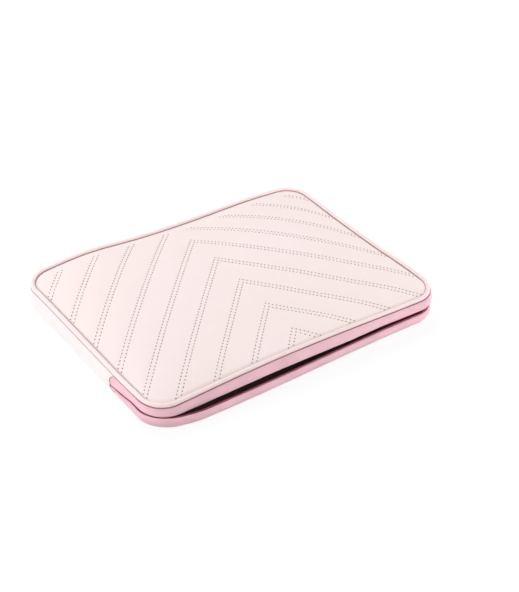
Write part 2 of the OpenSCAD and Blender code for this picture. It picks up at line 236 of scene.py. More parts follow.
class Sleeve:
    """Places and forms that the pieces share, from the frame's boxes and the settings."""

    def __init__(self, context):
        scene = context.scene
        self.shape = shape = scene.sleeve_shape
        self.stitching = scene.sleeve_stitching
        self.hardware = scene.sleeve_hardware
        self.colours = scene.sleeve_colours
        wall_low, wall_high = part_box("rear_gusset")
        self.half_l, self.half_d = wall_high.x, wall_high.y
        self.roll_top, self.wall_top = wall_low.z, wall_high.z
        cover_low, cover_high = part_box("rear_top_cover")
        self.panel_l, self.panel_d = cover_high.x, cover_high.y
        self.panel_z = cover_low.z + shape.skin
        self.crown = cover_high.z - self.panel_z
        self.panel_in = self.half_l - self.panel_l
        self.panel_r = shape.corner - self.panel_in
        self.foam_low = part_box("rear_top_foam")[0].z
        self.lid_lining_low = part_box("rear_top_lining")[0].z
        piping_low, piping_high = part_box("rear_piping_skin")
        self.piping_r = (piping_high.z - piping_low.z) / 2
        self.piping_z = (piping_high.z + piping_low.z) / 2
        slider_low, slider_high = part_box("zip_slider")
        self.zip_z = (slider_low.z + slider_high.z) / 2
        self.zip_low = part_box("lower_zip_band")[1].z
        self.zip_high = 2 * self.zip_z - self.zip_low
        self.flex_y, self.hinge_z = HINGE["pos_m"][1:]

    def bent_share(self, y):
        """Share of the mouth's angle that a point at depth y takes."""
        return smooth_step((self.flex_y - y) / self.shape.bend_run)

    def lip_reach(self, y):
        """Share of the way from the lip's hinge line to its front edge."""
        return np.clip((self.flex_y - y) / (self.flex_y + self.half_d), 0, 1.1)

    def lip_bow(self, x, y):
        """Rise of the opened lip between its corners."""
        return self.shape.bow * (1 - (x / self.half_l) ** 2) * self.lip_reach(y) ** 1.5

    def lip_droop(self, x, y):
        """Fall of the opened lip towards its left front corner."""
        start, run = 0.01, 0.17
        return self.shape.droop * smooth_step((-x - start) / run) * self.lip_reach(y) ** 3

    def edge_wave(self, points):
        """Soft rise and fall of the lid's edge, which fades out from there down to the zip."""
        x, y, z = points[..., 0], points[..., 1], points[..., 2]
        share = np.clip((z - self.zip_high) / (self.wall_top - self.zip_high), 0, 1)
        rise = 0
        for middle_x, middle_y, reach, height in EDGE_WAVES:
            rise = rise + height * np.exp(-((x - middle_x) ** 2 + (y - middle_y) ** 2) / reach ** 2)
        return share * rise

    def open_mouth(self, points):
        """Turns points of the closed lip into its rest shape, bowed up between the corners."""
        x, y, z = points[..., 0], points[..., 1], points[..., 2]
        turn = self.bent_share(y) * self.shape.mouth_angle
        dy, dz = y - self.flex_y, z - self.hinge_z
        bow = self.lip_bow(x, y) - self.lip_droop(x, y) + self.edge_wave(points)
        opened = np.empty_like(points)
        opened[..., 0] = x
        opened[..., 1] = self.flex_y + dy * np.cos(turn) + dz * np.sin(turn)
        opened[..., 2] = self.hinge_z - dy * np.sin(turn) + dz * np.cos(turn) + bow
        return opened

    def bend_with_lip(self, piece):
        """Bakes a finished piece's place into its mesh."""
        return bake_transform(piece)

    def pushed(self, points):
        """Points of the lower half with its front edge bowed out, most of all near the left corner."""
        x, y = points[..., 0], points[..., 1]
        rise_start, rise_run = -0.178, 0.055
        fall_start, fall_run = -0.120, 0.270
        front_start, front_run = 0.085, 0.045
        rising = smooth_step((x - rise_start) / rise_run)
        falling = smooth_step((x - fall_start) / fall_run)
        along = rising * (1 - falling)
        near = smooth_step((-y - front_start) / front_run)
        moved = points.copy()
        moved[..., 1] -= self.shape.push * along * near
        return moved

    def panel_half(self, y):
        """Half length of the lid panel at depth y, with its round corners."""
        into = np.clip(np.abs(y) - (self.panel_d - self.panel_r), 0, self.panel_r)
        return self.panel_l - self.panel_r + np.sqrt(self.panel_r ** 2 - into ** 2)

    def edge_distance(self, x, y):
        """Distance inwards from the lid panel's edge."""
        qx = np.abs(x) - (self.panel_l - self.panel_r)
        qy = np.abs(y) - (self.panel_d - self.panel_r)
        outside = np.hypot(np.maximum(qx, 0), np.maximum(qy, 0))
        return self.panel_r - outside - np.minimum(np.maximum(qx, qy), 0)

    def crown_height(self, x, y):
        """Height of the lid's plain crown above its edge."""
        across = np.clip(np.abs(x) / self.panel_half(y), 0, 1)
        along = np.clip(np.abs(y) / self.panel_d, 0, 1)
        shape = self.shape
        return self.crown * (1 - across ** shape.crown_x_power) * (1 - along ** shape.crown_y_power)

    def end_seam(self, z, left):
        """Depth behind the dividing line of the curved seam at an end of the mouth, by height."""
        widest_over_slit, furthest_forward = 0.0034, -0.007
        top_run, top_lean = 0.0125, 0.010
        foot_run = 0.0030
        foot_lean = 0.0035 if left else 0.0002
        slit = self.zip_z - self.shape.fall
        widest = slit + widest_over_slit
        above = np.clip((z - widest) / top_run, 0, None)
        below = np.clip((widest - z) / foot_run, 0, None)
        seam = self.shape.band_end - top_lean * above ** 2 - foot_lean * below ** 2
        if left:
            flap_end, flap_drop, flap_run, flap_lean = 0.0026, 0.0019, 0.0020, 0.0034
            flap = flap_end - flap_lean * np.clip((slit - flap_drop - z) / flap_run, 0, None) ** 2
            seam = np.where(z > slit, seam, flap)
        return np.maximum(seam, furthest_forward)

    def wall_swell(self, z):
        """Outward swell of the wall between its seams at a height."""
        low = self.roll_top * SWELL_START
        share = np.clip((z - low) / (self.wall_top - low), 0, 1)
        return self.shape.wall_bulge * 4 * share * (1 - share)

    def stitch_rows(self):
        """Depths at which the stitch rows have their points, two for each chevron."""
        stitching = self.stitching
        step = stitching.twin_gap * math.hypot(1, stitching.slope)
        points = [stitching.first_y - stitching.pitch * row for row in range(stitching.rows)]
        return [point - step * twin for point in points for twin in (0, 1)]

    def row_distance(self, x, y):
        """Distance from the nearest stitch row."""
        stitching = self.stitching
        across = np.abs(x - stitching.middle_x) * stitching.slope + y
        distance = np.full(np.shape(x), np.inf)
        for point in self.stitch_rows():
            distance = np.minimum(distance, np.abs(across - point) / math.hypot(1, stitching.slope))
        return distance

    def quilting(self, x, y):
        """Rise and fall of the panel between and along its stitch rows."""
        stitching = self.stitching
        distance = self.row_distance(x, y)
        edge = np.clip(self.edge_distance(x, y), 0, None)
        nearest = np.minimum(distance, edge + stitching.groove_width)
        groove = -stitching.groove * np.exp(-((distance / stitching.groove_width) ** 2))
        puff = stitching.puff * (1 - np.exp(-nearest / (4 * stitching.groove_width)))
        return (groove + puff) * np.clip(edge / (3 * self.shape.rim_run), 0, 1)

    def lid_top(self, x, y):
        """Top of the stitched lid panel while the mouth is closed."""
        shape = self.shape
        edge = np.clip(self.edge_distance(x, y), 0, None)
        rim = shape.rim_lift - (shape.rim_lift + shape.rim_drop) * np.exp(-((edge / shape.rim_run) ** 1.5))
        return self.panel_z + self.crown_height(x, y) + rim + self.quilting(x, y)

    def lid_grid(self, columns, rows, turn_rows):
        """Grid of plan points over the lid panel, closer together at its rim."""
        rim_shares = np.array([0.0026, 0.0065, 0.012])
        across = np.linspace(-1, 1, columns)
        across = np.unique(np.concatenate([across, 1 - rim_shares, rim_shares - 1]))
        straight = self.panel_d - self.panel_r
        turn = straight + self.panel_r * np.sin(np.linspace(0, math.pi / 2, turn_rows + 1)[1:])
        depth = np.concatenate([-turn[::-1], np.linspace(-straight, straight, rows), turn])
        y = np.repeat(depth[:, None], len(across), axis=1)
        return across[None, :] * self.panel_half(y), y


def wall_path(sleeve, part, step=0.0025):
    """Places, outward normals and running length along the wall's outer face, anticlockwise."""
    a, b, r, flex = sleeve.half_l, sleeve.half_d, sleeve.shape.corner, sleeve.flex_y
    x, y = a - r, b - r
    turns = 18

    def line(start, end, facing):
        count = max(2, math.ceil(math.dist(start, end) / step))
        places = np.linspace(start, end, count, endpoint=False)
        return places, np.full(count, math.radians(facing))

    def turn(middle, facing):
        facings = np.radians(np.linspace(facing, facing + 90, turns, endpoint=False))
        return np.array(middle) + r * np.column_stack([np.cos(facings), np.sin(facings)]), facings

    front = [
        line((-a, flex), (-a, -y), 180), turn((-x, -y), 180), line((-x, -b), (x, -b), 270),
        turn((x, -y), 270), line((a, -y), (a, flex), 360),
    ]
    rear = [
        line((a, flex), (a, y), 0), turn((x, y), 0), line((x, b), (-x, b), 90),
        turn((-x, y), 90), line((-a, y), (-a, flex), 180),
    ]
    legs = {"front": front, "rear": rear, "ring": rear + front}[part]
    places = np.concatenate([leg[0] for leg in legs])
    facings = np.concatenate([leg[1] for leg in legs])
    if part != "ring":
        end = (a, flex) if part == "front" else (-a, flex)
        places = np.vstack([places, end])
        facings = np.append(facings, facings[-1])
    normals = np.column_stack([np.cos(facings), np.sin(facings)])
    steps = np.linalg.norm(np.diff(places, axis=0), axis=1)
    return places, normals, np.concatenate([[0], np.cumsum(steps)])


def ribbon_section(line, thickness):
    """Closed section with round edges round an outer line of (inset, height) points."""
    along = np.gradient(line, axis=-2)
    along = along / np.linalg.norm(along, axis=-1, keepdims=True)
    inward = np.stack([along[..., 1], -along[..., 0]], axis=-1)
    inner = line + inward * thickness
    half = thickness / 2

    def edge(end, sign):
        middle = (line[..., end, :] + inner[..., end, :]) / 2
        aside = sign * inward[..., end, :] * half
        ahead = sign * along[..., end, :] * half
        turns = np.radians(EDGE_TURNS)
        points = [middle - aside * math.cos(t) + ahead * math.sin(t) for t in turns]
        return np.stack(points, axis=-2)

    return np.concatenate([line, edge(-1, 1), inner[..., ::-1, :], edge(0, -1)], axis=-2)


def upright(stations, inset, low, high, rows):
    """Straight outer lines of an upright strip at each station, from its low to its high edge."""
    share = np.linspace(0, 1, rows + 1)
    low = np.broadcast_to(low, (stations,))[:, None]
    high = np.broadcast_to(high, (stations,))[:, None]
    heights = low + share * (high - low)
    return np.stack([np.broadcast_to(inset, heights.shape), heights], axis=-1)


def ribbon_cap(around):
    """Corners of the faces that close a ribbon section's end, from its outer line to its inner one."""
    edge = len(EDGE_TURNS)
    half = (around - 2 * edge) // 2
    faces = []
    for k in range(1 - edge, half + 1):
        opposite = around - edge - 1 - k
        corners = [k, k + 1, opposite - 1, opposite]
        faces.append(list(dict.fromkeys(corner % around for corner in corners)))
    return [face for face in faces if len(face) > 2]


def sweep(path, section, closed=False, wrap=True):
    """Points, faces and cloth coordinates of a section that follows the wall's path."""
    places, normals, run = path
    count = len(places)
    section = np.broadcast_to(section, (count,) + section.shape[-2:])
    around = section.shape[1]
    flat = places[:, None, :] - normals[:, None, :] * section[..., :1]
    points = np.concatenate([flat, section[..., 1:]], axis=-1)
    steps = np.linalg.norm(np.diff(section, axis=1, append=section[:, :1]), axis=2)
    girth = np.concatenate([np.zeros((count, 1)), np.cumsum(steps, axis=1)], axis=1)
    total = run[-1] + np.linalg.norm(places[-1] - places[0])
    faces, cloth = [], []
    for i in range(count if closed else count - 1):
        ahead = (i + 1) % count
        u0, u1 = run[i], run[ahead] if ahead else total
        for j in range(around if wrap else around - 1):
            beside = (j + 1) % around
            faces.append((i * around + j, ahead * around + j, ahead * around + beside, i * around + beside))
            cloth += [
                (u0, girth[i, j]), (u1, girth[ahead, j]), (u1, girth[ahead, j + 1]), (u0, girth[i, j + 1]),
            ]
    caps = []
    if not closed:
        ends = (0, (count - 1) * around)
        caps = [[first + k for k in face] for first in ends for face in ribbon_cap(around)]
    elif not wrap:
        caps = [range(0, count * around, around), range(around - 1, count * around, around)]
    for cap in caps:
        faces.append(tuple(cap))
        cloth += [tuple(points.reshape(-1, 3)[k, :2]) for k in cap]
    return points, faces, cloth


def grid_faces(index):
    """Four-cornered faces between the points of a grid."""
    quads = np.stack([index[:-1, :-1], index[:-1, 1:], index[1:, 1:], index[1:, :-1]], axis=-1)
    return [tuple(quad) for quad in quads.reshape(-1, 4).tolist()]


def pad(top, low):
    """Points and faces of a closed pad between two grids."""
    rows, columns = top.shape[:2]
    index = np.arange(rows * columns).reshape(rows, columns)
    faces = grid_faces(index) + grid_faces(index + rows * columns)
    rim = np.concatenate([index[0, :-1], index[:-1, -1], index[-1, :0:-1], index[:0:-1, 0]])
    below = rim + rows * columns
    faces += [
        (int(rim[k - 1]), int(rim[k]), int(below[k]), int(below[k - 1])) for k in range(len(rim))
    ]
    return np.concatenate([top.reshape(-1, 3), low.reshape(-1, 3)]), faces


def ripple(points, scale, seed):
    """Smooth random field over points, between about -1 and 1."""
    offset = Vector((seed * 7.3, seed * 3.1, seed * 5.7))
    flat = points.reshape(-1, 3)
    values = [noise.noise(Vector(point) * scale + offset) for point in flat]
    return np.array(values).reshape(points.shape[:-1])


def make_piece(name, points, faces, material, cloth=None, smooth=True):
    """Mesh object of a closed form, with its faces turned outwards."""
    mesh = bpy.data.meshes.new(name)
    mesh.from_pydata(points.reshape(-1, 3).tolist(), [], faces)
    if cloth is not None:
        layer = mesh.uv_layers.new(name="cloth")
        layer.data.foreach_set("uv", np.array(cloth, np.float32).ravel())
    shell = bmesh.new()
    shell.from_mesh(mesh)
    bmesh.ops.recalc_face_normals(shell, faces=shell.faces)
    shell.to_mesh(mesh)
    shell.free()
    mesh.polygons.foreach_set("use_smooth", [smooth] * len(mesh.polygons))
    mesh.materials.append(material)
    piece = bpy.data.objects.new(name, mesh)
    bpy.context.scene.collection.objects.link(piece)
    return piece


def with_edges_sharp(piece, degrees):
    """Keeps a piece's sharp edges sharp while the rest is shaded smooth."""
    piece.data.set_sharp_from_angle(angle=math.radians(degrees))


# Rows of stitches and teeth

def bead_row_tree():
    """Node tree that sets rounded beads, such as stitches or teeth, along the edges of a mesh."""
    name = "bead_rows"
    if name in bpy.data.node_groups:
        return bpy.data.node_groups[name]
    tree = bpy.data.node_groups.new(name, "GeometryNodeTree")
    tree.interface.new_socket("Geometry", in_out="INPUT", socket_type="NodeSocketGeometry")
    for label in ("Spacing", "Length", "Width", "Height"):
        tree.interface.new_socket(label, in_out="INPUT", socket_type="NodeSocketFloat")
    tree.interface.new_socket("Seed", in_out="INPUT", socket_type="NodeSocketInt")
    tree.interface.new_socket("Material", in_out="INPUT", socket_type="NodeSocketMaterial")
    tree.interface.new_socket("Geometry", in_out="OUTPUT", socket_type="NodeSocketGeometry")

    def node(kind, **settings):
        made = tree.nodes.new(kind)
        for key, value in settings.items():
            setattr(made, key, value)
        return made

    def join(start, end):
        tree.links.new(start, end)

    given, result = node("NodeGroupInput"), node("NodeGroupOutput")
    curve = node("GeometryNodeMeshToCurve")
    spaced = node("GeometryNodeResampleCurve", mode="LENGTH")
    bead = node("GeometryNodeMeshUVSphere")
    bead.inputs["Segments"].default_value = 8
    bead.inputs["Rings"].default_value = 5
    bead.inputs["Radius"].default_value = 0.5
    proportions = node("ShaderNodeCombineXYZ")
    shaped = node("GeometryNodeTransform")
    along = node("FunctionNodeAlignRotationToVector", axis="X")
    outward = node("FunctionNodeAlignRotationToVector", axis="Z", pivot_axis="X")
    tangent = node("GeometryNodeInputTangent")
    normal = node("GeometryNodeInputNamedAttribute", data_type="FLOAT_VECTOR")
    normal.inputs["Name"].default_value = "surface_normal"
    uneven = node("FunctionNodeRandomValue", data_type="FLOAT_VECTOR")
    uneven.inputs[0].default_value = (0.88, 0.92, 0.92)
    uneven.inputs[1].default_value = (1.10, 1.06, 1.06)
    placed = node("GeometryNodeInstanceOnPoints")
    real = node("GeometryNodeRealizeInstances")
    finish = node("GeometryNodeSetMaterial")
    join(given.outputs["Geometry"], curve.inputs["Mesh"])
    join(curve.outputs["Curve"], spaced.inputs["Curve"])
    join(given.outputs["Spacing"], spaced.inputs["Length"])
    for label, axis in (("Length", "X"), ("Width", "Y"), ("Height", "Z")):
        join(given.outputs[label], proportions.inputs[axis])
    join(bead.outputs["Mesh"], shaped.inputs["Geometry"])
    join(proportions.outputs["Vector"], shaped.inputs["Scale"])
    join(tangent.outputs["Tangent"], along.inputs["Vector"])
    join(along.outputs["Rotation"], outward.inputs["Rotation"])
    join(normal.outputs["Attribute"], outward.inputs["Vector"])
    join(given.outputs["Seed"], uneven.inputs["Seed"])
    join(spaced.outputs["Curve"], placed.inputs["Points"])
    join(shaped.outputs["Geometry"], placed.inputs["Instance"])
    join(outward.outputs["Rotation"], placed.inputs["Rotation"])
    join(uneven.outputs["Value"], placed.inputs["Scale"])
    join(placed.outputs["Instances"], real.inputs["Geometry"])
    join(real.outputs["Geometry"], finish.inputs["Geometry"])
    join(given.outputs["Material"], finish.inputs["Material"])
    join(finish.outputs["Geometry"], result.inputs["Geometry"])
    return tree


def bead_rows(name, rows, material, spacing, length, width, height, seed):
    """Plain mesh of beads along rows, each a pair of points and outward normals."""
    points, normals, edges = [], [], []
    for places, facings in rows:
        first = len(points)
        points += places.tolist()
        normals += facings.tolist()
        edges += [(first + k, first + k + 1) for k in range(len(places) - 1)]
    guide = bpy.data.meshes.new(name)
    guide.from_pydata(points, edges, [])
    layer = guide.attributes.new("surface_normal", "FLOAT_VECTOR", "POINT")
    layer.data.foreach_set("vector", np.array(normals, np.float32).ravel())
    piece = bpy.data.objects.new(name, guide)
    bpy.context.scene.collection.objects.link(piece)
    tree = bead_row_tree()
    modifier = piece.modifiers.new("bead_rows", "NODES")
    modifier.node_group = tree
    values = {
        "Spacing": spacing, "Length": length, "Width": width, "Height": height,
        "Seed": seed, "Material": material,
    }
    for item in tree.interface.items_tree:
        if item.in_out == "INPUT" and item.name in values:
            modifier[item.identifier] = values[item.name]
    depsgraph = bpy.context.evaluated_depsgraph_get()
    mesh = bpy.data.meshes.new_from_object(piece.evaluated_get(depsgraph))
    if not mesh.polygons:
        raise RuntimeError(f"{name}: its rows made no beads")
    piece.modifiers.clear()
    piece.data = mesh
    mesh.name = name
    mesh.polygons.foreach_set("use_smooth", [True] * len(mesh.polygons))
    return piece


def part_of_row(places, normals, skip_start, skip_end):
    """The row without a length at its start and one at its end."""
    run = np.concatenate([[0], np.cumsum(np.linalg.norm(np.diff(places, axis=0), axis=1))])
    low, high = skip_start, run[-1] - skip_end
    kept = np.concatenate([[low], run[(run > low) & (run < high)], [high]])
    return [np.column_stack([np.interp(kept, run, axis) for axis in row.T]) for row in (places, normals)]


# Materials

def linear(rgb):
    """Colour for a shader from a colour as it is seen on a screen."""
    return [c / 12.92 if c <= 0.04045 else ((c + 0.055) / 1.055) ** 2.4 for c in rgb] + [1]


def shader_group(name, inputs, outputs):
    """New shader node group with value or vector inputs and value outputs."""
    tree = bpy.data.node_groups.new(name, "ShaderNodeTree")
    for label, kind, default in inputs:
        socket = tree.interface.new_socket(label, in_out="INPUT", socket_type=kind)
        if default is not None:
            socket.default_value = default
    for label in outputs:
        tree.interface.new_socket(label, in_out="OUTPUT", socket_type="NodeSocketFloat")
    return tree, tree.nodes.new("NodeGroupInput"), tree.nodes.new("NodeGroupOutput")


def math_node(tree, operation, first, second=None):
    """Math node fed by sockets or plain numbers, given back as its output."""
    made = tree.nodes.new("ShaderNodeMath")
    made.operation = operation
    for socket, value in zip(made.inputs, (first, second)):
        if value is None:
            continue
        if isinstance(value, (int, float)):
            socket.default_value = value
        else:
            tree.links.new(value, socket)
    return made.outputs[0]


def leather_grain_group():
    """Pebbled grain of faux leather: a height, and a mask of its creases."""
    name = "leather_grain"
    if name in bpy.data.node_groups:
        return bpy.data.node_groups[name]
    inputs = [("Vector", "NodeSocketVector", None), ("Pebble", "NodeSocketFloat", 0.0011)]
    tree, given, result = shader_group(name, inputs, ("Height", "Crease"))
    scale = math_node(tree, "DIVIDE", 1.0, given.outputs["Pebble"])
    sway = tree.nodes.new("ShaderNodeTexNoise")
    sway.inputs["Scale"].default_value = 420
    sway.inputs["Detail"].default_value = 2
    moved = tree.nodes.new("ShaderNodeVectorMath")
    moved.operation = "MULTIPLY_ADD"
    moved.inputs[1].default_value = (0.0008, 0.0008, 0.0008)
    cells = tree.nodes.new("ShaderNodeTexVoronoi")
    cells.feature = "DISTANCE_TO_EDGE"
    fine = tree.nodes.new("ShaderNodeTexNoise")
    fine.inputs["Scale"].default_value = 2600
    fine.inputs["Detail"].default_value = 3
    tree.links.new(given.outputs["Vector"], sway.inputs["Vector"])
    tree.links.new(sway.outputs["Color"], moved.inputs[0])
    tree.links.new(given.outputs["Vector"], moved.inputs[2])
    tree.links.new(moved.outputs["Vector"], cells.inputs["Vector"])
    tree.links.new(scale, cells.inputs["Scale"])
    tree.links.new(given.outputs["Vector"], fine.inputs["Vector"])
    swell = math_node(tree, "MINIMUM", math_node(tree, "MULTIPLY", cells.outputs["Distance"], 4.0), 1.0)
    height = math_node(tree, "ADD", swell, math_node(tree, "MULTIPLY", fine.outputs["Fac"], 0.35))
    tree.links.new(height, result.inputs["Height"])
    tree.links.new(math_node(tree, "SUBTRACT", 1.0, swell), result.inputs["Crease"])
    return tree


def weave_group():
    """Plain weave over cloth coordinates: a height, and a mask of the gaps between threads."""
    name = "plain_weave"
    if name in bpy.data.node_groups:
        return bpy.data.node_groups[name]
    inputs = [("Vector", "NodeSocketVector", None), ("Pitch", "NodeSocketFloat", 0.0006)]
    tree, given, result = shader_group(name, inputs, ("Height", "Gap"))
    split = tree.nodes.new("ShaderNodeSeparateXYZ")
    tree.links.new(given.outputs["Vector"], split.inputs["Vector"])
    across = math_node(tree, "DIVIDE", split.outputs["X"], given.outputs["Pitch"])
    along = math_node(tree, "DIVIDE", split.outputs["Y"], given.outputs["Pitch"])

    def threads(value):
        wave = math_node(tree, "SINE", math_node(tree, "MULTIPLY", value, math.pi))
        return math_node(tree, "ABSOLUTE", wave)

    cells = math_node(tree, "ADD", math_node(tree, "FLOOR", across), math_node(tree, "FLOOR", along))
    over = math_node(tree, "ABSOLUTE", math_node(tree, "MODULO", cells, 2.0))
    under = math_node(tree, "SUBTRACT", 1.0, over)
    warp, weft = threads(across), threads(along)
    first = math_node(tree, "MULTIPLY", over, warp)
    second = math_node(tree, "MULTIPLY", under, weft)
    height = math_node(tree, "ADD", first, second)
    tree.links.new(height, result.inputs["Height"])
    gap = math_node(tree, "SUBTRACT", 1.0, math_node(tree, "POWER", height, 0.6))
    tree.links.new(gap, result.inputs["Gap"])
    return tree


def drift_group():
    """Slow drift of tint and wear over a surface, from 0 to 1."""
    name = "slow_drift"
    if name in bpy.data.node_groups:
        return bpy.data.node_groups[name]
    inputs = [("Vector", "NodeSocketVector", None), ("Scale", "NodeSocketFloat", 14.0)]
    tree, given, result = shader_group(name, inputs, ("Drift",))
    cloud = tree.nodes.new("ShaderNodeTexNoise")
    cloud.inputs["Detail"].default_value = 3
    cloud.inputs["Roughness"].default_value = 0.55
    spread = tree.nodes.new("ShaderNodeMapRange")
    spread.inputs["From Min"].default_value = 0.32
    spread.inputs["From Max"].default_value = 0.68
    tree.links.new(given.outputs["Vector"], cloud.inputs["Vector"])
    tree.links.new(given.outputs["Scale"], cloud.inputs["Scale"])
    tree.links.new(cloud.outputs["Fac"], spread.inputs["Value"])
    tree.links.new(spread.outputs["Result"], result.inputs["Drift"])
    return tree


class Finish:
    """One material under construction, with short ways to place and join its nodes."""

    def __init__(self, name, roughness, **constants):
        self.material = bpy.data.materials.new(name)
        self.material.use_nodes = True
        self.tree = self.material.node_tree
        self.shader = self.tree.nodes["Principled BSDF"]
        self.shader.inputs["Roughness"].default_value = roughness
        for label, value in constants.items():
            self.shader.inputs[label.replace("_", " ")].default_value = value
        self.coordinates = self.tree.nodes.new("ShaderNodeTexCoord")

    def join(self, start, end):
        self.tree.links.new(start, end)

    def group(self, tree, coordinates, **values):
        """Places a shared effect on Object or UV coordinates, with its own values."""
        made = self.tree.nodes.new("ShaderNodeGroup")
        made.node_tree = tree
        self.join(self.coordinates.outputs[coordinates], made.inputs["Vector"])
        for label, value in values.items():
            made.inputs[label].default_value = value
        return made

    def mix(self, share, first, second):
        """Mixes two colours, given as values or sockets, by a share."""
        made = self.tree.nodes.new("ShaderNodeMix")
        made.data_type = "RGBA"
        self.join(share, made.inputs["Factor"])
        for socket, value in ((made.inputs[6], first), (made.inputs[7], second)):
            if isinstance(value, (list, tuple)):
                socket.default_value = value
            else:
                self.join(value, socket)
        return made.outputs[2]

    def scaled(self, value, factor, offset=0.0):
        """A socket's value times a factor plus an offset."""
        made = self.tree.nodes.new("ShaderNodeMath")
        made.operation = "MULTIPLY_ADD"
        made.inputs[1].default_value = factor
        made.inputs[2].default_value = offset
        self.join(value, made.inputs[0])
        return made.outputs[0]

    def paint(self, socket):
        self.join(socket, self.shader.inputs["Base Color"])

    def bump(self, height, depth):
        """Raises the surface by a height map of a real depth."""
        made = self.tree.nodes.new("ShaderNodeBump")
        made.inputs["Strength"].default_value = 1.0
        made.inputs["Distance"].default_value = depth
        self.join(height, made.inputs["Height"])
        self.join(made.outputs["Normal"], self.shader.inputs["Normal"])


def darker(rgb, share):
    """A colour made darker by a share."""
    return [c * (1 - share) for c in rgb]


def faux_leather(name, rgb, drift_rgb):
    """Matt faux leather with a fine pebbled grain, painted shade in the grain's creases, and a slow drift of
    tint.
    """
    if name in bpy.data.materials:
        return bpy.data.materials[name]
    finish = Finish(name, 0.65, Specular_IOR_Level=0.18, Sheen_Weight=0.03)
    grain = finish.group(leather_grain_group(), "Object", Pebble=0.0011)
    drift = finish.group(drift_group(), "Object", Scale=7.0)
    tint = finish.mix(drift.outputs["Drift"], linear(rgb), linear(drift_rgb))
    # Painted shade: the grain's creases are painted darker.
    crease_shaded = finish.mix(finish.scaled(grain.outputs["Crease"], 0.30), tint, linear(darker(drift_rgb, 0.12)))
    finish.paint(crease_shaded)
    finish.join(finish.scaled(grain.outputs["Crease"], 0.14, 0.62), finish.shader.inputs["Roughness"])
    finish.bump(grain.outputs["Height"], 0.00005)
    return finish.material


def woven_cloth(name, rgb, pitch, depth):
    """Woven cloth on cloth coordinates, with painted shade between its threads."""
    if name in bpy.data.materials:
        return bpy.data.materials[name]
    finish = Finish(name, 0.85, Specular_IOR_Level=0.03, Sheen_Weight=0.04, Sheen_Roughness=0.5)
    weave = finish.group(weave_group(), "UV", Pitch=pitch)
    drift = finish.group(drift_group(), "Object", Scale=30.0)
    tint = finish.mix(drift.outputs["Drift"], linear(rgb), linear(darker(rgb, 0.06)))
    # Painted shade: the gaps between threads are painted darker.
    finish.paint(finish.mix(finish.scaled(weave.outputs["Gap"], 0.30), tint, linear(darker(rgb, 0.16))))
    finish.bump(weave.outputs["Height"], depth)
    return finish.material


def brushed_lining(name, rgb):
    """Brushed lining cloth with a short nap."""
    if name in bpy.data.materials:
        return bpy.data.materials[name]
    finish = Finish(name, 0.92, Specular_IOR_Level=0.1, Sheen_Weight=0.4, Sheen_Roughness=0.6)
    drift = finish.group(drift_group(), "Object", Scale=60.0)
    nap = finish.group(drift_group(), "Object", Scale=1500.0)
    tint = finish.mix(drift.outputs["Drift"], linear(rgb), linear(darker(rgb, 0.12)))
    finish.paint(finish.mix(finish.scaled(nap.outputs["Drift"], 0.5), tint, linear(darker(rgb, 0.22))))
    finish.bump(nap.outputs["Drift"], 0.0002)
    return finish.material


def spun_thread(name, rgb):
    """Spun thread with fine twist lines."""
    if name in bpy.data.materials:
        return bpy.data.materials[name]
    finish = Finish(name, 0.6, Specular_IOR_Level=0.3, Sheen_Weight=0.15)
    twist = finish.group(drift_group(), "Object", Scale=2200.0)
    finish.paint(finish.mix(twist.outputs["Drift"], linear(rgb), linear(darker(rgb, 0.10))))
    finish.bump(twist.outputs["Drift"], 0.00003)
    return finish.material


def moulded_coil(name, rgb):
    """Smooth moulded nylon of the zip's teeth."""
    if name in bpy.data.materials:
        return bpy.data.materials[name]
    finish = Finish(name, 0.38, Specular_IOR_Level=0.45)
    drift = finish.group(drift_group(), "Object", Scale=240.0)
    finish.paint(finish.mix(drift.outputs["Drift"], linear(rgb), linear(darker(rgb, 0.10))))
    finish.join(finish.scaled(drift.outputs["Drift"], 0.14, 0.32), finish.shader.inputs["Roughness"])
    return finish.material


def plated_metal(name, rgb):
    """Pale plated metal with fine scratches and a little dulling."""
    if name in bpy.data.materials:
        return bpy.data.materials[name]
    finish = Finish(name, 0.3, Metallic=1.0)
    drift = finish.group(drift_group(), "Object", Scale=180.0)
    scratch = finish.group(drift_group(), "Object", Scale=2600.0)
    finish.paint(finish.mix(drift.outputs["Drift"], linear(rgb), linear(darker(rgb, 0.10))))
    finish.join(finish.scaled(drift.outputs["Drift"], 0.16, 0.22), finish.shader.inputs["Roughness"])
    finish.bump(scratch.outputs["Drift"], 0.000012)
    return finish.material


def panel_skin(colours):
    return faux_leather("panel_faux_leather", colours.panel, colours.panel_warm)


def piping_skin(colours):
    return faux_leather("piping_faux_leather", colours.piping, darker(colours.piping, 0.025))


def wall_skin(colours):
    return faux_leather("wall_faux_leather", colours.wall, darker(colours.wall, 0.02))


def band_cloth(colours):
    return woven_cloth("band_weave", colours.band, pitch=0.0006, depth=0.00006)


def tape_cloth(colours):
    return woven_cloth("zip_tape_weave", colours.tape, pitch=0.0005, depth=0.0001)


def lining_cloth(colours):
    # The lining's colour is partly painted shade: it is darker than the cloth's own rose.
    return brushed_lining("lining_nap", colours.lining)


def zip_metal(colours):
    return plated_metal("zip_plating", colours.metal)


# Operators

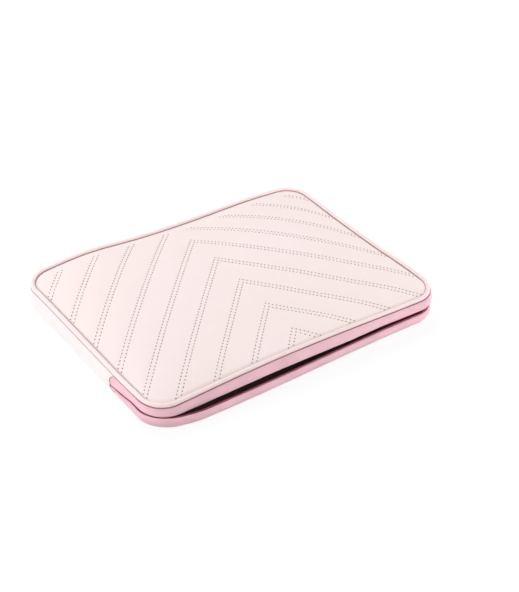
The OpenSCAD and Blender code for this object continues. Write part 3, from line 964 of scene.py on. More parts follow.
class SLEEVE_OT_stage(Operator):
    """Sets up the pale floor, the soft studio light and the camera"""

    bl_idname = "sleeve.stage"
    bl_label = "Stage"

    def execute(self, context):
        scene = context.scene
        stage = scene.sleeve_stage
        scene.view_settings.view_transform = "Standard"
        self.add_floor(scene.sleeve_colours.floor)
        self.add_world(scene, stage)
        self.add_lamp("key_lamp", place=(-1.7, 0.1, 0.72), width=1.4, watts=stage.key)
        self.add_lamp("fill_lamp", place=(0.30, 1.30, 1.55), width=1.8, watts=stage.fill)
        self.add_lamp("front_lamp", place=(0.9, -0.80, 0.22), width=0.4, watts=stage.front)
        self.add_camera(scene, stage)
        return {"FINISHED"}

    def add_floor(self, rgb):
        """Wide pale floor that keeps the sleeve's shadow and looks nearly white."""
        half, drop = 4.0, 0.0004
        glow_strength, glow_share = 1.04, 0.84
        outline = rectangle(-half, half, -half, half)
        corners = np.array([(x, y, -drop) for x, y in outline])
        finish = Finish("studio_floor", 0.9, Specular_IOR_Level=0.0)
        grain = finish.group(drift_group(), "Object", Scale=3.0)
        mottle = finish.scaled(grain.outputs["Drift"], 0.2)
        finish.paint(finish.mix(mottle, linear(rgb), linear(darker(rgb, 0.01))))
        seen = self.seen_directly(finish.tree)
        glow = finish.tree.nodes.new("ShaderNodeEmission")
        mixed = finish.tree.nodes.new("ShaderNodeMixShader")
        glow.inputs["Strength"].default_value = glow_strength
        finish.join(finish.scaled(seen, glow_share), mixed.inputs[0])
        finish.join(finish.shader.outputs[0], mixed.inputs[1])
        finish.join(glow.outputs[0], mixed.inputs[2])
        finish.join(mixed.outputs[0], finish.tree.nodes["Material Output"].inputs["Surface"])
        floor = make_piece("studio_floor", corners, [(0, 1, 2, 3)], finish.material, smooth=False)

    def seen_directly(self, tree):
        """One where the camera sees a surface straight, in gloss or through glass."""
        path = tree.nodes.new("ShaderNodeLightPath")
        seen = path.outputs["Is Camera Ray"]
        for label in ("Is Glossy Ray", "Is Transmission Ray"):
            seen = math_node(tree, "MAXIMUM", seen, path.outputs[label])
        return seen

    def add_world(self, scene, stage):
        """Soft light from all round, stronger from overhead, which looks white itself."""
        world = bpy.data.worlds.new("studio_light")
        scene.world = world
        world.use_nodes = True
        tree = world.node_tree
        light = tree.nodes["Background"]
        light.inputs["Color"].default_value = (1, 1, 1, 1)
        seen = self.seen_directly(tree)
        direction = tree.nodes.new("ShaderNodeTexCoord")
        split = tree.nodes.new("ShaderNodeSeparateXYZ")
        tree.links.new(direction.outputs["Generated"], split.inputs["Vector"])
        height = math_node(tree, "MAXIMUM", split.outputs["Z"], 0.0)
        sky = math_node(tree, "MULTIPLY_ADD", height, stage.ambient * (stage.overhead - stage.horizon))
        sky.node.inputs[2].default_value = stage.ambient * stage.horizon
        strength = tree.nodes.new("ShaderNodeMix")
        tree.links.new(seen, strength.inputs["Factor"])
        tree.links.new(sky, strength.inputs[2])
        strength.inputs[3].default_value = 1.0
        tree.links.new(strength.outputs[0], light.inputs["Strength"])

    def add_lamp(self, name, place, width, watts):
        """Round lamp that shines at the origin."""
        lamp = bpy.data.lights.new(name, "AREA")
        lamp.shape = "DISK"
        lamp.size = width
        lamp.energy = watts
        holder = bpy.data.objects.new(name, lamp)
        holder.location = place
        holder.rotation_euler = (-Vector(place)).to_track_quat("-Z", "Y").to_euler()
        bpy.context.scene.collection.objects.link(holder)

    def add_camera(self, scene, stage):
        """Camera at the photograph's viewing angle."""
        target = Vector((0.0217, -0.0240, 0.020))
        flat = math.cos(stage.elevation)
        sine, cosine = math.sin(stage.azimuth), math.cos(stage.azimuth)
        back = Vector((sine * flat, -cosine * flat, math.sin(stage.elevation)))
        right = Vector((cosine, sine, 0))
        up = back.cross(right)
        turned = right * math.cos(stage.roll) + up * math.sin(stage.roll)
        upright_axis = up * math.cos(stage.roll) - right * math.sin(stage.roll)
        lens = bpy.data.cameras.new("photo_camera")
        lens.sensor_width = 36
        lens.lens = stage.focal / max(PHOTO_SIZE) * lens.sensor_width
        lens.clip_start, lens.clip_end = 0.05, 50
        camera = bpy.data.objects.new("photo_camera", lens)
        turn = Matrix((turned, upright_axis, back)).transposed().to_4x4()
        camera.matrix_world = Matrix.Translation(target + back * stage.distance) @ turn
        scene.collection.objects.link(camera)
        scene.camera = camera


class SLEEVE_OT_lid_pad(Operator):
    """Makes the crowned, stitched lid panel over its foam"""

    bl_idname = "sleeve.lid_pad"
    bl_label = "Lid pad"

    def execute(self, context):
        sleeve = Sleeve(context)
        x, y = sleeve.lid_grid(columns=176, rows=104, turn_rows=18)
        top = sleeve.open_mouth(np.stack([x, y, sleeve.lid_top(x, y)], axis=-1))
        low = np.stack([x, y, sleeve.foam_low + sleeve.crown_height(x, y)], axis=-1)
        rim = 0.006
        held = (sleeve.row_distance(x, y) < sleeve.stitching.hold) | (sleeve.edge_distance(x, y) < rim)
        top[..., 2] += self.swell(context.scene, top, held, sleeve.stitching.most_puff)
        points, faces = pad(top, sleeve.open_mouth(low))
        piece = make_piece("lid_pad", points, faces, panel_skin(sleeve.colours))
        with_edges_sharp(piece, 60)
        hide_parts("rear_top_cover", "rear_top_foam", "lip_top_cover", "lip_top_foam")
        sleeve.bend_with_lip(piece)
        return {"FINISHED"}

    def swell(self, scene, top, held, most):
        """Rise of the skin in a cloth simulation, as its filling pushes it up between the held points."""
        index = np.arange(held.size).reshape(held.shape)
        skin = make_piece("lid_skin_trial", top, grid_faces(index), panel_skin(scene.sleeve_colours))
        skin.vertex_groups.new(name="held").add(index[held].tolist(), 1.0, "REPLACE")
        cloth = skin.modifiers.new("filling_pressure", "CLOTH")
        settings = cloth.settings
        settings.quality = 4
        settings.mass = 0.001
        settings.tension_stiffness = settings.compression_stiffness = 8
        settings.shear_stiffness = 4
        settings.bending_stiffness = 0.2
        settings.tension_damping = settings.compression_damping = 10
        settings.air_damping = 2
        settings.vertex_group_mass = "held"
        settings.use_pressure = True
        settings.uniform_pressure_force = 16
        settings.effector_weights.gravity = 0
        frames = range(1, 21)
        cloth.point_cache.frame_start, cloth.point_cache.frame_end = frames[0], frames[-1]
        for frame_number in frames:
            scene.frame_set(frame_number)
        depsgraph = bpy.context.evaluated_depsgraph_get()
        settled = skin.evaluated_get(depsgraph)
        places = np.empty(top.size, np.float32)
        settled.data.vertices.foreach_get("co", places)
        mesh = skin.data
        bpy.data.objects.remove(skin)
        bpy.data.meshes.remove(mesh)
        scene.frame_set(frames[0])
        rise = places.reshape(top.shape)[..., 2] - top[..., 2]
        if not np.isfinite(rise).all() or rise.max() <= 0:
            raise RuntimeError("lid_pad: its filling did not push the skin up")
        return np.clip(rise, 0, most)


class SLEEVE_OT_quilting(Operator):
    """Sews the twin rows of chevron stitches into the lid panel, with dark beads of painted shade in the
    needle holes between stitches
    """

    bl_idname = "sleeve.quilting"
    bl_label = "Quilting stitches"

    def execute(self, context):
        sleeve = Sleeve(context)
        stitching = sleeve.stitching
        thread = spun_thread("quilting_thread", sleeve.colours.thread)
        # Painted shade: the dark beads in the needle holes stand in for their shadow.
        dark = spun_thread("dipping_thread", sleeve.colours.hole_shade)
        flat_share, hole_shade_share = 0.45, 0.5
        thread_seed, hole_shade_seed = 4, 8
        for side, label, pitch, side_gap in (
            (-1, "left", stitching.left_pitch, stitching.left_gap),
            (1, "right", stitching.right_pitch, stitching.right_gap),
        ):
            arms = [self.arm(sleeve, point, side, side_gap) for point in sleeve.stitch_rows()]
            rows = [arm for arm in arms if arm]
            seen = [self.part_in_stitches(row, pitch, skip_start=0.5, skip_end=0.5) for row in rows]
            stitches = bead_rows(
                f"quilting_stitches_{label}", seen, thread, spacing=pitch,
                length=pitch * stitching.stitch_share, width=stitching.thread,
                height=stitching.thread * flat_share, seed=thread_seed + side,
            )
            # Dark beads of painted shade, one in each needle hole between the stitches.
            sunk = [self.part_in_stitches(row, pitch, skip_start=max(side, 0), skip_end=0) for row in rows]
            dips = bead_rows(
                f"needle_hole_shade_beads_{label}", sunk, dark, spacing=pitch,
                length=stitching.hole_shade, width=stitching.hole_shade,
                height=stitching.hole_shade * hole_shade_share, seed=hole_shade_seed + side,
            )
            sleeve.bend_with_lip(stitches)
            sleeve.bend_with_lip(dips)
        return {"FINISHED"}

    def arm(self, sleeve, point, side, side_gap):
        """One arm of a stitch row, as far as it lies on the panel, or nothing."""
        stitching = sleeve.stitching
        step, fewest, tilt_step, raised_share = 0.001, 12, 0.0005, 0.15
        out = np.arange(0.0, 2 * sleeve.panel_l, step)
        x = stitching.middle_x + side * out
        y = point - stitching.slope * out
        x, y = x[np.abs(x) < sleeve.panel_l], y[np.abs(x) < sleeve.panel_l]
        on_panel = (y < sleeve.panel_d - stitching.back_gap) & (y > stitching.front_gap - sleeve.panel_d)
        x, y = x[on_panel], y[on_panel]
        gap = np.where(y < -sleeve.panel_d + sleeve.panel_r, stitching.front_gap, side_gap)
        on_panel = sleeve.edge_distance(x, y) > gap
        x, y = x[on_panel], y[on_panel]
        if len(x) < fewest:
            return None
        places = self.on_lid(sleeve, x, y)
        along = self.on_lid(sleeve, x + tilt_step, y) - places
        aside = self.on_lid(sleeve, x, y + tilt_step) - places
        normals = np.cross(along, aside)
        normals /= np.linalg.norm(normals, axis=1, keepdims=True)
        return places + normals * stitching.thread * raised_share, normals

    def part_in_stitches(self, row, pitch, skip_start, skip_end):
        """The row, which holds a whole number of stitches, without some stitches at its start and end."""
        length = float(np.linalg.norm(np.diff(row[0], axis=0), axis=1).sum())
        stitch = length / int(length / pitch)
        return part_of_row(*row, skip_start * stitch, skip_end * stitch)

    def on_lid(self, sleeve, x, y):
        """Points on top of the lid panel, with the mouth as it is at rest."""
        return sleeve.open_mouth(np.stack([x, y, sleeve.lid_top(x, y)], axis=-1))


class SLEEVE_OT_piping(Operator):
    """Makes the corded piping round the lid and the seam threads on both sides of it, darkened with painted
    shade for the seam's groove
    """

    bl_idname = "sleeve.piping"
    bl_label = "Piping"

    def execute(self, context):
        sleeve = Sleeve(context)
        shape = sleeve.shape
        front_start, front_run = 0.095, 0.030
        front = smooth_step((-wall_path(sleeve, "ring")[0][:, 1] - front_start) / front_run)
        r = sleeve.piping_r * (1 - shape.front_slim * front)
        inset, height = 2 * sleeve.piping_r - r, sleeve.piping_z - sleeve.piping_r + r
        piping = self.cord(sleeve, "lid_piping", inset, height, r, piping_skin(sleeve.colours), around=24)
        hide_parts("rear_piping_skin", "rear_piping_cord", "lip_piping_skin", "lip_piping_cord")
        # The seam cords in the grooves beside the piping are darker than the leather: partly thread, partly
        # painted shade for the groove.
        thread = spun_thread("seam_thread", sleeve.colours.seam)
        half = shape.seam_width / 2
        lid_out, lid_rise, front_drop = 0.6, 0.0004, 0.0009
        lid_z = sleeve.panel_z - shape.rim_drop + half + lid_rise - front_drop * front
        self.cord(sleeve, "lid_seam", sleeve.panel_in - half * lid_out, lid_z, half, thread, around=8)
        wall_in, wall_up = 0.9, 0.5
        wall_half = half * (1 - shape.seam_slim * front)
        wall_z = sleeve.wall_top + wall_half * wall_up
        self.cord(sleeve, "wall_seam", wall_half * wall_in, wall_z, wall_half, thread, around=8)
        return {"FINISHED"}

    def cord(self, sleeve, name, inset, height, radius, material, around):
        """Round cord all round the wall, with one place and radius or one for each station."""
        turns = np.linspace(0, 2 * math.pi, around, endpoint=False)
        inset, height, radius = (np.atleast_1d(value)[:, None] for value in (inset, height, radius))
        across = inset + radius * np.cos(turns)
        heights = height + radius * np.sin(turns)
        section = np.stack(np.broadcast_arrays(across, heights), axis=-1)
        points, faces, cloth = sweep(wall_path(sleeve, "ring"), section, closed=True)
        piece = make_piece(name, sleeve.open_mouth(points), faces, material, cloth)
        return sleeve.bend_with_lip(piece)


class SLEEVE_OT_wall(Operator):
    """Makes the wall along the back and the sides, and the bottom panel"""

    bl_idname = "sleeve.wall"
    bl_label = "Wall and bottom"

    def execute(self, context):
        sleeve = Sleeve(context)
        skin = wall_skin(sleeve.colours)
        self.rear_wall(sleeve, skin)
        self.bottom(sleeve, skin)
        return {"FINISHED"}

    def rear_wall(self, sleeve, skin):
        """Wall along the back and the sides, from the rolled bottom edge up to the piping."""
        shape = sleeve.shape
        path = wall_path(sleeve, "rear")
        line = rolled_line(sleeve, sleeve.wall_top, rows=20)
        points, faces, cloth = sweep(path, ribbon_section(line, shape.skin))
        points = soften_wall(sleeve, points, path, seed=3)
        points = shape_ends(sleeve, points, path, gap=0.0003)
        points[..., 2] += sleeve.edge_wave(points)
        wall = make_piece("rear_wall", points, faces, skin, cloth)
        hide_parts("rear_gusset")
        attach(wall, "base")

    def bottom(self, sleeve, skin):
        """Flat bottom panel that meets the rolled bottom edge all round."""
        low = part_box("bottom_cover")[0].z
        thickness, overlap = sleeve.shape.skin, 0.0006
        reach = sleeve.roll_top - overlap
        insets = np.array([0.026, 0.018, 0.012, 0.007, reach])
        line = np.column_stack([insets, np.full(len(insets), low)])
        top = np.column_stack([insets[::-1], np.full(len(insets), low + thickness)])
        edge = np.array([[reach - thickness / 2, low + thickness / 2]])
        section = np.concatenate([line, edge, top])
        points, faces, cloth = sweep(wall_path(sleeve, "ring", step=0.006), section, closed=True, wrap=False)
        bottom = make_piece("bottom_panel", sleeve.pushed(points), faces, skin, cloth)
        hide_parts("bottom_cover")
        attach(bottom, "base")


def rolled_line(sleeve, high, rows):
    """Outer lines of a wall, from under the rolled bottom edge up to a height, one or one per station."""
    r = sleeve.roll_top
    turns = np.radians(np.linspace(90, 10, 7))
    roll = np.column_stack([r - r * np.cos(turns), r - r * np.sin(turns)])
    heights = r + np.linspace(0, 1, rows + 1) * (np.atleast_1d(high)[:, None] - r)
    side = np.stack([np.zeros_like(heights), heights], axis=-1)
    return np.concatenate([np.broadcast_to(roll, (len(side),) + roll.shape), side], axis=1)


def soften_wall(sleeve, points, path, seed):
    """Swells a wall between its seams and draws soft puckers into it."""
    upright_share, coarse, fine, fine_share = 0.35, 75, 190, 0.5
    stretched = points * np.array([1, 1, upright_share])
    folds = ripple(stretched, coarse, seed) + fine_share * ripple(stretched, fine, seed + 1)
    rising = np.clip(points[..., 2] / sleeve.roll_top - SWELL_START, 0, 1)
    shift = sleeve.wall_swell(points[..., 2]) + sleeve.shape.pucker * folds * rising
    moved = points.copy()
    moved[..., :2] += path[1][:, None, :] * shift[..., None]
    return moved


def shape_ends(sleeve, points, path, gap=0.0):
    """Draws the two ends of a wall or band to the curved seam where they meet."""
    places, run = path[0], path[2]
    reach = 0.014
    moved = points.copy()
    for start, from_end in ((0, run), (-1, run[-1] - run)):
        near = np.clip(1 - from_end / reach, 0, 1)[:, None]
        seam = sleeve.end_seam(points[..., 2], left=places[start, 0] < 0)
        moved[..., 1] += near * (seam + gap)
    return moved


def mouth_edges(sleeve, path):
    """Heights along the closed mouth: lower band's edge, upper band's edge, upper tape's edge."""
    shape = sleeve.shape
    x, y = path[0][:, 0], path[0][:, 1]
    fall = shape.fall * np.clip(1 - (sleeve.flex_y - y) / shape.fall_run, 0, 1) * (x < 0)
    loose_start, loose_run = 0.05, 0.07
    drawn_share, tape_rise, tape_spare = 0.55, 0.0003, 0.0009
    bow = sleeve.lip_bow(x, y)
    loose = smooth_step((x - loose_start) / loose_run)
    corner_rise = shape.edge_rise * corner_share(sleeve, path)
    lower = sleeve.zip_low - fall * (1 + shape.slit / shape.fall) + corner_rise
    drawn = drawn_share * bow * (1 - loose)
    upper = sleeve.zip_high - fall - drawn
    tape = sleeve.zip_high + tape_rise - drawn - loose * np.minimum(shape.hang, bow + tape_spare)
    return lower, upper, tape


def band_swell(sleeve, path, rows):
    """Outward swell of a band from edge to edge, fading out where the slider runs at the right."""
    shape = sleeve.shape
    share = np.linspace(0, 1, rows + 1)
    to_end = path[2][-1] - path[2]
    straight = sleeve.half_d - shape.corner + sleeve.flex_y
    start_run, end_run = 0.02, shape.corner * 1.2
    free = smooth_step((to_end - straight) / end_run) * smooth_step(path[2] / start_run)
    return free[:, None] * shape.band_bulge * 4 * share * (1 - share)


def corner_share(sleeve, path):
    """One at the left front corner of the mouth, falling away on both sides of it."""
    r = sleeve.shape.corner
    turn_share, spread = 0.9, 0.035
    corner = sleeve.half_d - r + sleeve.flex_y + turn_share * r * math.pi / 2
    return np.exp(-(((path[2] - corner) / spread) ** 2))


class SLEEVE_OT_zip_bands(Operator):
    """Makes the cloth bands above and below the zip and the seams at their ends"""

    bl_idname = "sleeve.zip_bands"
    bl_label = "Zip bands"

    def execute(self, context):
        sleeve = Sleeve(context)
        path = wall_path(sleeve, "front")
        cloth_finish = band_cloth(sleeve.colours)
        lower = self.lower_band(sleeve, path, cloth_finish)
        upper = self.upper_band(sleeve, path, cloth_finish)
        self.end_threads(sleeve)
        return {"FINISHED"}

    def lower_band(self, sleeve, path, finish):
        """Band from the rolled bottom edge up to the zip."""
        shape = sleeve.shape
        rows = 10
        line = rolled_line(sleeve, mouth_edges(sleeve, path)[0], rows)
        flare = shape.edge_flare * corner_share(sleeve, path)
        flared = flare[:, None] * np.linspace(0, 1, rows + 1) ** 2
        line[:, -rows - 1:, 0] -= flared + band_swell(sleeve, path, rows)
        points, faces, cloth = sweep(path, ribbon_section(line, shape.skin))
        points = soften_wall(sleeve, points, path, seed=8)
        points = sleeve.pushed(shape_ends(sleeve, points, path))
        piece = make_piece("lower_band", points, faces, finish, cloth)
        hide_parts("lower_zip_band")
        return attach(piece, "base")

    def upper_band(self, sleeve, path, finish):
        """Band from the zip up to the piping, which opens with the lip."""
        shape = sleeve.shape
        stations, rows = len(path[0]), 12
        line = upright(stations, 0.0, mouth_edges(sleeve, path)[1], sleeve.wall_top, rows)
        flare = shape.lip_flare * sleeve.lip_bow(*path[0].T) / shape.bow
        flared = flare[:, None] * np.linspace(1, 0, rows + 1) ** 1.6
        line[..., 0] -= flared + band_swell(sleeve, path, rows)
        points, faces, cloth = sweep(path, ribbon_section(line, shape.skin))
        points = soften_wall(sleeve, points, path, seed=12)
        points = shape_ends(sleeve, points, path)
        piece = make_piece("upper_band", sleeve.open_mouth(points), faces, finish, cloth)
        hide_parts("upper_zip_band")
        return sleeve.bend_with_lip(piece)

    def end_threads(self, sleeve):
        """Rows of thread along the curved seams at both ends of the mouth."""
        over_slit, under_slit, over_top = 0.0004, 0.0008, 0.0004
        left_foot, right_foot = 0.0032, 0.0045
        raised, behind = 0.0001, 0.0002
        slit = sleeve.zip_z - sleeve.shape.fall
        top = sleeve.wall_top + over_top
        rows = []
        for left, low, high in (
            (True, slit + over_slit, top),
            (True, left_foot, slit - under_slit),
            (False, right_foot, top),
        ):
            z = np.linspace(low, high, 24)
            facing = -1 if left else 1
            x = facing * (sleeve.half_l + sleeve.wall_swell(z) + raised)
            places = np.column_stack([x, sleeve.flex_y + sleeve.end_seam(z, left) + behind, z])
            places[:, 2] += sleeve.edge_wave(places)
            rows.append((places, np.tile((facing, 0.0, 0.0), (len(z), 1))))
        # The end seams' thread takes the same darkened colour: partly thread, partly painted shade for the
        # seam.
        thread = spun_thread("seam_thread", sleeve.colours.seam)
        piece = bead_rows(
            "band_end_threads", rows, thread, spacing=0.0011,
            length=0.0014, width=0.0007, height=0.0006, seed=6,
        )
        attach(piece, "base")


class SLEEVE_OT_zip_tapes(Operator):
    """Makes the woven zip tapes behind the bands and the teeth on their edges"""

    bl_idname = "sleeve.zip_tapes"
    bl_label = "Zip tapes and teeth"

    def execute(self, context):
        sleeve = Sleeve(context)
        inset, thickness = sleeve.half_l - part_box("lower_zip_tape")[1].x, 0.0006
        foot_gap, edge_shown = 0.0005, 0.0004
        path = wall_path(sleeve, "front")
        stations = len(path[0])
        finish = tape_cloth(sleeve.colours)
        hanging = mouth_edges(sleeve, path)[2]
        lower_low, lower_high = sleeve.roll_top + foot_gap, sleeve.zip_low + edge_shown
        lower_line = upright(stations, inset, lower_low, lower_high, rows=5)
        points, faces, cloth = sweep(path, ribbon_section(lower_line, thickness))
        lower = make_piece("lower_tape", sleeve.pushed(points), faces, finish, cloth)
        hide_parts("lower_zip_tape")
        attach(lower, "base")
        upper_line = upright(stations, inset, hanging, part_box("rear_binding")[1].z, rows=8)
        points, faces, cloth = sweep(path, ribbon_section(upper_line, thickness))
        upper = make_piece("upper_tape", sleeve.open_mouth(points), faces, finish, cloth)
        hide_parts("upper_zip_tape")
        sleeve.bend_with_lip(upper)
        self.teeth(sleeve, path, inset + thickness, hanging)
        return {"FINISHED"}

    def teeth(self, sleeve, path, inset, hanging):
        """Teeth on the inner face of both tapes, along their edges."""
        coil_low, coil_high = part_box("lower_zip_coil")
        tall, deep = coil_high.z - coil_low.z, 0.0013
        end_width, lower_rise, upper_drop = 0.001, 0.0001, 0.0003
        finish = moulded_coil("zip_teeth", sleeve.colours.coil)
        places, normals = path[:2]
        kept = (places[:, 1] < coil_high.y) | (np.abs(places[:, 0]) < sleeve.half_l - end_width)
        places, normals, hanging = places[kept], normals[kept], hanging[kept]
        flat = places - normals * (inset + deep / 2)
        up = np.tile((0.0, 0.0, 1.0), (len(flat), 1))
        level = np.full(len(flat), sleeve.zip_low - tall / 2 + lower_rise)
        for name, height, node, opened in (
            ("lower_teeth", level, "lower_zip_coil", False),
            ("upper_teeth", hanging + tall / 2 - upper_drop, "upper_zip_coil", True),
        ):
            points = np.column_stack([flat, height])
            points = sleeve.open_mouth(points) if opened else sleeve.pushed(points)
            piece = bead_rows(
                name, [(points, up)], finish, spacing=0.0015, length=0.0011, width=deep, height=tall, seed=9,
            )
            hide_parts(node)
            if opened:
                sleeve.bend_with_lip(piece)
            else:
                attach(piece, "base")


class SLEEVE_OT_lining(Operator):
    """Makes the padded bottom lining, the wall's lining, the lid's lining and the seam bindings"""

    bl_idname = "sleeve.lining"
    bl_label = "Lining and bindings"

    def execute(self, context):
        sleeve = Sleeve(context)
        cloth_finish = lining_cloth(sleeve.colours)
        self.bottom_pad(sleeve, cloth_finish)
        self.wall_lining(sleeve, cloth_finish)
        self.lid_lining(sleeve, cloth_finish)
        self.bindings(sleeve)
        return {"FINISHED"}

    def bottom_pad(self, sleeve, finish):
        """Foam and lining on the bottom; its section goes from the underside round the edge to the top."""
        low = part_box("bottom_foam")[0].z
        lining_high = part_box("bottom_lining")[1]
        edge = sleeve.half_l - lining_high.x
        tall = lining_high.z - low
        clear, foot_in = 0.0001, 0.002
        insets = edge + np.array([24, 18, 12, 6, 3, 1.2, 0.3, 0, 0.3, 1.2, 3, 6, 12, 18, 24]) / 1000
        share = np.array([0, 0, 0, 0, 0.02, 0.10, 0.25, 0.5, 0.72, 0.86, 0.95, 0.98, 1, 1, 1])
        insets[:8] = np.maximum(insets[:8], edge + foot_in)
        section = np.column_stack([insets, low + clear + share * (tall - clear)])
        points, faces, cloth = sweep(wall_path(sleeve, "ring", step=0.005), section, closed=True, wrap=False)
        piece = make_piece("bottom_pad", sleeve.pushed(points), faces, finish, cloth)
        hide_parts("bottom_foam", "bottom_lining")
        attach(piece, "base")

    def wall_lining(self, sleeve, finish):
        """Lining on the wall's inner face."""
        low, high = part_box("rear_gusset_lining")
        path = wall_path(sleeve, "rear")
        inset = sleeve.half_l - high.x
        line = upright(len(path[0]), inset, low.z, high.z, rows=6)
        points, faces, cloth = sweep(path, ribbon_section(line, sleeve.shape.lining))
        piece = make_piece("wall_lining", points, faces, finish, cloth)
        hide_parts("rear_gusset_lining")
        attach(piece, "base")

    def lid_lining(self, sleeve, finish):
        """Lining under the lid's foam, which bends with the lip."""
        x, y = sleeve.lid_grid(columns=64, rows=40, turn_rows=10)
        low = sleeve.lid_lining_low + sleeve.crown_height(x, y)
        grids = [np.stack([x, y, z], axis=-1) for z in (low + sleeve.shape.lining, low)]
        points, faces = pad(*[sleeve.open_mouth(grid) for grid in grids])
        piece = make_piece("lid_lining", points, faces, finish)
        with_edges_sharp(piece, 60)
        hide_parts("rear_top_lining", "lip_top_lining")
        sleeve.bend_with_lip(piece)

    def bindings(self, sleeve):
        """Tapes that bind the two inside seams, each a ring."""
        finish = band_cloth(sleeve.colours)
        for name, node, others, opened in (
            ("bottom_seam_binding", "bottom_binding", (), False),
            ("lid_seam_binding", "rear_binding", ("lip_binding",), True),
        ):
            low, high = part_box(node)
            path = wall_path(sleeve, "ring", step=0.004)
            inset, width = sleeve.half_l - high.x, 0.0024
            line = upright(len(path[0]), inset, low.z, high.z, rows=3)
            points, faces, cloth = sweep(path, ribbon_section(line, width), closed=True)
            points = sleeve.open_mouth(points) if opened else sleeve.pushed(points)
            piece = make_piece(name, points, faces, finish, cloth)
            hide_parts(node, *others)
            if opened:
                sleeve.bend_with_lip(piece)
            else:
                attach(piece, "base")


def bevelled(name, prisms, material, width):
    """Piece of prisms with bevelled edges: each has an outline, two ends and the axis it runs along."""
    shell = bmesh.new()
    for outline, start, end, axis in prisms:
        place = {"X": lambda a, b, c: (c, a, b), "Z": lambda a, b, c: (a, b, c)}[axis]
        ends = [[shell.verts.new(place(a, b, c)) for a, b in outline] for c in (start, end)]
        shell.faces.new(ends[0])
        shell.faces.new(ends[1][::-1])
        for k in range(len(outline)):
            shell.faces.new((ends[0][k - 1], ends[0][k], ends[1][k], ends[1][k - 1]))
    bmesh.ops.recalc_face_normals(shell, faces=shell.faces)
    sharp = [edge for edge in shell.edges if edge.calc_face_angle(0) > math.radians(30)]
    bmesh.ops.bevel(
        shell, geom=sharp, offset=width, segments=2, profile=0.6, affect="EDGES", clamp_overlap=True
    )
    bmesh.ops.recalc_face_normals(shell, faces=shell.faces)
    mesh = bpy.data.meshes.new(name)
    shell.to_mesh(mesh)
    shell.free()
    mesh.polygons.foreach_set("use_smooth", [True] * len(mesh.polygons))
    mesh.set_sharp_from_angle(angle=math.radians(35))
    mesh.materials.append(material)
    piece = bpy.data.objects.new(name, mesh)
    bpy.context.scene.collection.objects.link(piece)
    return piece


def rectangle(a0, a1, b0, b1):
    """Outline of a rectangle between two values on each of its two axes."""
    return [(a0, b0), (a1, b0), (a1, b1), (a0, b1)]


def box_prism(node):
    """Prism that fills the box of one of the frame's nodes."""
    low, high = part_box(node)
    return rectangle(low.y, high.y, low.z, high.z), low.x, high.x, "X"


def arc(a, b, r, start, end, steps=8):
    """Points of an arc about a middle, between two angles in degrees."""
    turns = np.radians(np.linspace(start, end, steps + 1))
    return [(a + r * math.cos(t), b + r * math.sin(t)) for t in turns]


def stadium(a, b, length, width):
    """Outline with round ends, longer along its first axis."""
    r = width / 2
    reach = length / 2 - r
    return arc(a + reach, b, r, -90, 90) + arc(a - reach, b, r, 90, 270)


class SLEEVE_OT_zip_ends(Operator):
    """Makes the zip's stops and the tabs that cover its ends"""

    bl_idname = "sleeve.zip_ends"
    bl_label = "Zip stops and tabs"

    def execute(self, context):
        sleeve = Sleeve(context)
        metal = zip_metal(sleeve.colours)
        for node in ("zip_bottom_stop", "zip_top_stop_lower", "zip_top_stop_upper"):
            piece = bevelled(node.replace("zip_", ""), [box_prism(node)], metal, width=0.0002)
            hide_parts(node)
            if node == "zip_top_stop_upper":
                sleeve.bend_with_lip(piece)
            else:
                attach(piece, "base")
        for side in ("left", "right"):
            prism = box_prism(f"zip_end_tab_{side}")
            piece = bevelled(f"end_tab_{side}", [prism], band_cloth(sleeve.colours), width=0.0002)
            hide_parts(f"zip_end_tab_{side}")
            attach(piece, "base")
        return {"FINISHED"}


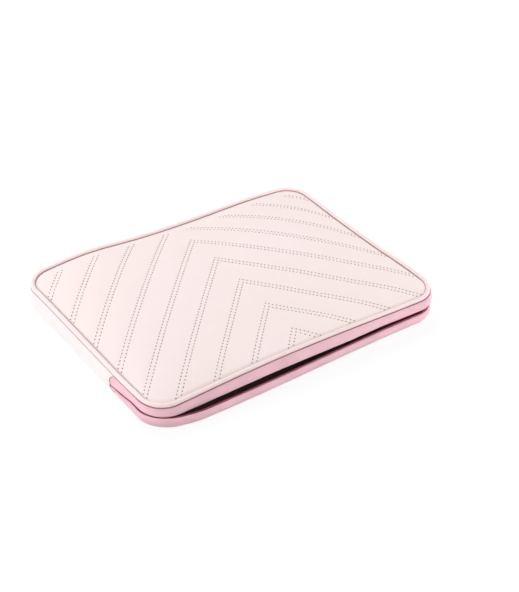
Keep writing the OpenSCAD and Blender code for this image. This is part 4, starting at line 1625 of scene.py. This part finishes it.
class SLEEVE_OT_slider(Operator):
    """Makes the zip slider with its bridge, and the pull that swings on it"""

    bl_idname = "sleeve.slider"
    bl_label = "Slider and pull"

    def execute(self, context):
        sleeve = Sleeve(context)
        metal = zip_metal(sleeve.colours)
        for piece, node, body in (
            (self.slider_body(sleeve, metal), "zip_slider", "slider"),
            (self.pull(sleeve, metal), "zip_pull", "pull"),
        ):
            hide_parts(node)
            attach(piece, body)
        return {"FINISHED"}

    def slider_body(self, sleeve, metal):
        """Two round-ended plates on a post, with a bridge over the outer plate."""
        hardware = sleeve.hardware
        low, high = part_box("zip_slider")
        y, z = (low.y + high.y) / 2, sleeve.zip_z
        length, width, plate = high.y - low.y, high.z - low.z, hardware.plate
        outer = sleeve.half_l + hardware.clearance
        inner = low.x + plate
        top = outer + plate
        bar, half = hardware.bridge_bar, hardware.bridge / 2
        post = rectangle(low.y + hardware.post / 2, low.y + hardware.post * 1.5, z - bar / 2, z + bar / 2)
        bend = bar * 0.9
        arch = [(top - plate / 2, y - half)] + arc(high.x - bend, y - half + bend, bend, -90, 0)
        arch += arc(high.x - bend, y + half - bend, bend, 0, 90) + [(top - plate / 2, y + half)]
        arch += [(top - plate / 2, y + half - bar), (high.x - bar, y + half - bar)]
        arch += [(high.x - bar, y - half + bar), (top - plate / 2, y - half + bar)]
        raised, border = 0.0002, 0.0022
        prisms = [
            (stadium(y, z, length, width), outer, top, "X"),
            (stadium(y, z, length - border, width - border), top - raised, top + raised, "X"),
            (stadium(y, z, length, width), low.x, inner, "X"),
            (post, inner - plate / 4, outer + plate / 4, "X"),
            (arch, z - bar, z + bar, "Z"),
        ]
        return bevelled("slider_body", prisms, metal, width=0.00022)

    def pull(self, sleeve, metal):
        """Forked blade on a pin, with a raised oval on each face."""
        hardware = sleeve.hardware
        low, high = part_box("zip_pull")
        x, z = (low.x + high.x) / 2, sleeve.zip_z
        pin_r = (high.x - low.x) / 2
        pin_y = low.y + pin_r
        r = (high.z - low.z) / 2
        half, eye = hardware.pull / 2, hardware.eye / 2
        arm = (r - eye) / 2
        slot = pin_y + hardware.slot
        tip = high.y - r
        fork = arc(pin_y, z + eye + arm, arm, 270, 90) + arc(tip, z, r, 90, -90, steps=16)
        fork += arc(pin_y, z - eye - arm, arm, 270, 90) + arc(slot - eye, z, eye, -90, 90)
        pin_sides = 32
        pin = arc(x, pin_y, pin_r, 0, 360 - 360 / pin_sides, steps=pin_sides - 1)
        raised, oval_shift, oval_width = 0.00012, 0.002, r * 1.15
        oval = stadium((slot + tip) / 2 + oval_shift, z, tip - slot, oval_width)
        prisms = [
            (fork, x - half, x + half, "X"),
            (oval, x - half - raised, x - half + raised, "X"),
            (oval, x + half - raised, x + half + raised, "X"),
            (pin, low.z, high.z, "Z"),
        ]
        return bevelled("slider_pull", prisms, metal, width=0.0002)


class SLEEVE_PT_panel(Panel):
    """Lists the sleeve's pieces and settings in the sidebar"""

    bl_label = "Laptop Sleeve"
    bl_idname = "SLEEVE_PT_panel"
    bl_space_type = "VIEW_3D"
    bl_region_type = "UI"
    bl_category = "Sleeve"

    def draw(self, context):
        layout = self.layout
        for operator in OPERATORS:
            layout.operator(operator.bl_idname)
        for group, place in GROUPS.items():
            settings = getattr(context.scene, place)
            box = layout.box()
            for key in group.__annotations__:
                box.prop(settings, key)


GROUPS = {
    SleeveShape: "sleeve_shape",
    SleeveStitching: "sleeve_stitching",
    SleeveHardware: "sleeve_hardware",
    SleeveColours: "sleeve_colours",
    SleeveStage: "sleeve_stage",
}
OPERATORS = (
    SLEEVE_OT_stage, SLEEVE_OT_lid_pad, SLEEVE_OT_quilting, SLEEVE_OT_piping, SLEEVE_OT_wall,
    SLEEVE_OT_zip_bands, SLEEVE_OT_zip_tapes, SLEEVE_OT_lining, SLEEVE_OT_zip_ends, SLEEVE_OT_slider,
)


def register():
    for group, place in GROUPS.items():
        bpy.utils.register_class(group)
        setattr(bpy.types.Scene, place, PointerProperty(type=group))
    for operator in OPERATORS:
        bpy.utils.register_class(operator)
    bpy.utils.register_class(SLEEVE_PT_panel)


def unregister():
    bpy.utils.unregister_class(SLEEVE_PT_panel)
    for operator in reversed(OPERATORS):
        bpy.utils.unregister_class(operator)
    for group, place in GROUPS.items():
        delattr(bpy.types.Scene, place)
        bpy.utils.unregister_class(group)


def main():
    register()
    for operator in OPERATORS:
        family, name = operator.bl_idname.split(".")
        getattr(getattr(bpy.ops, family), name)()


if __name__ == "__main__":
    main()
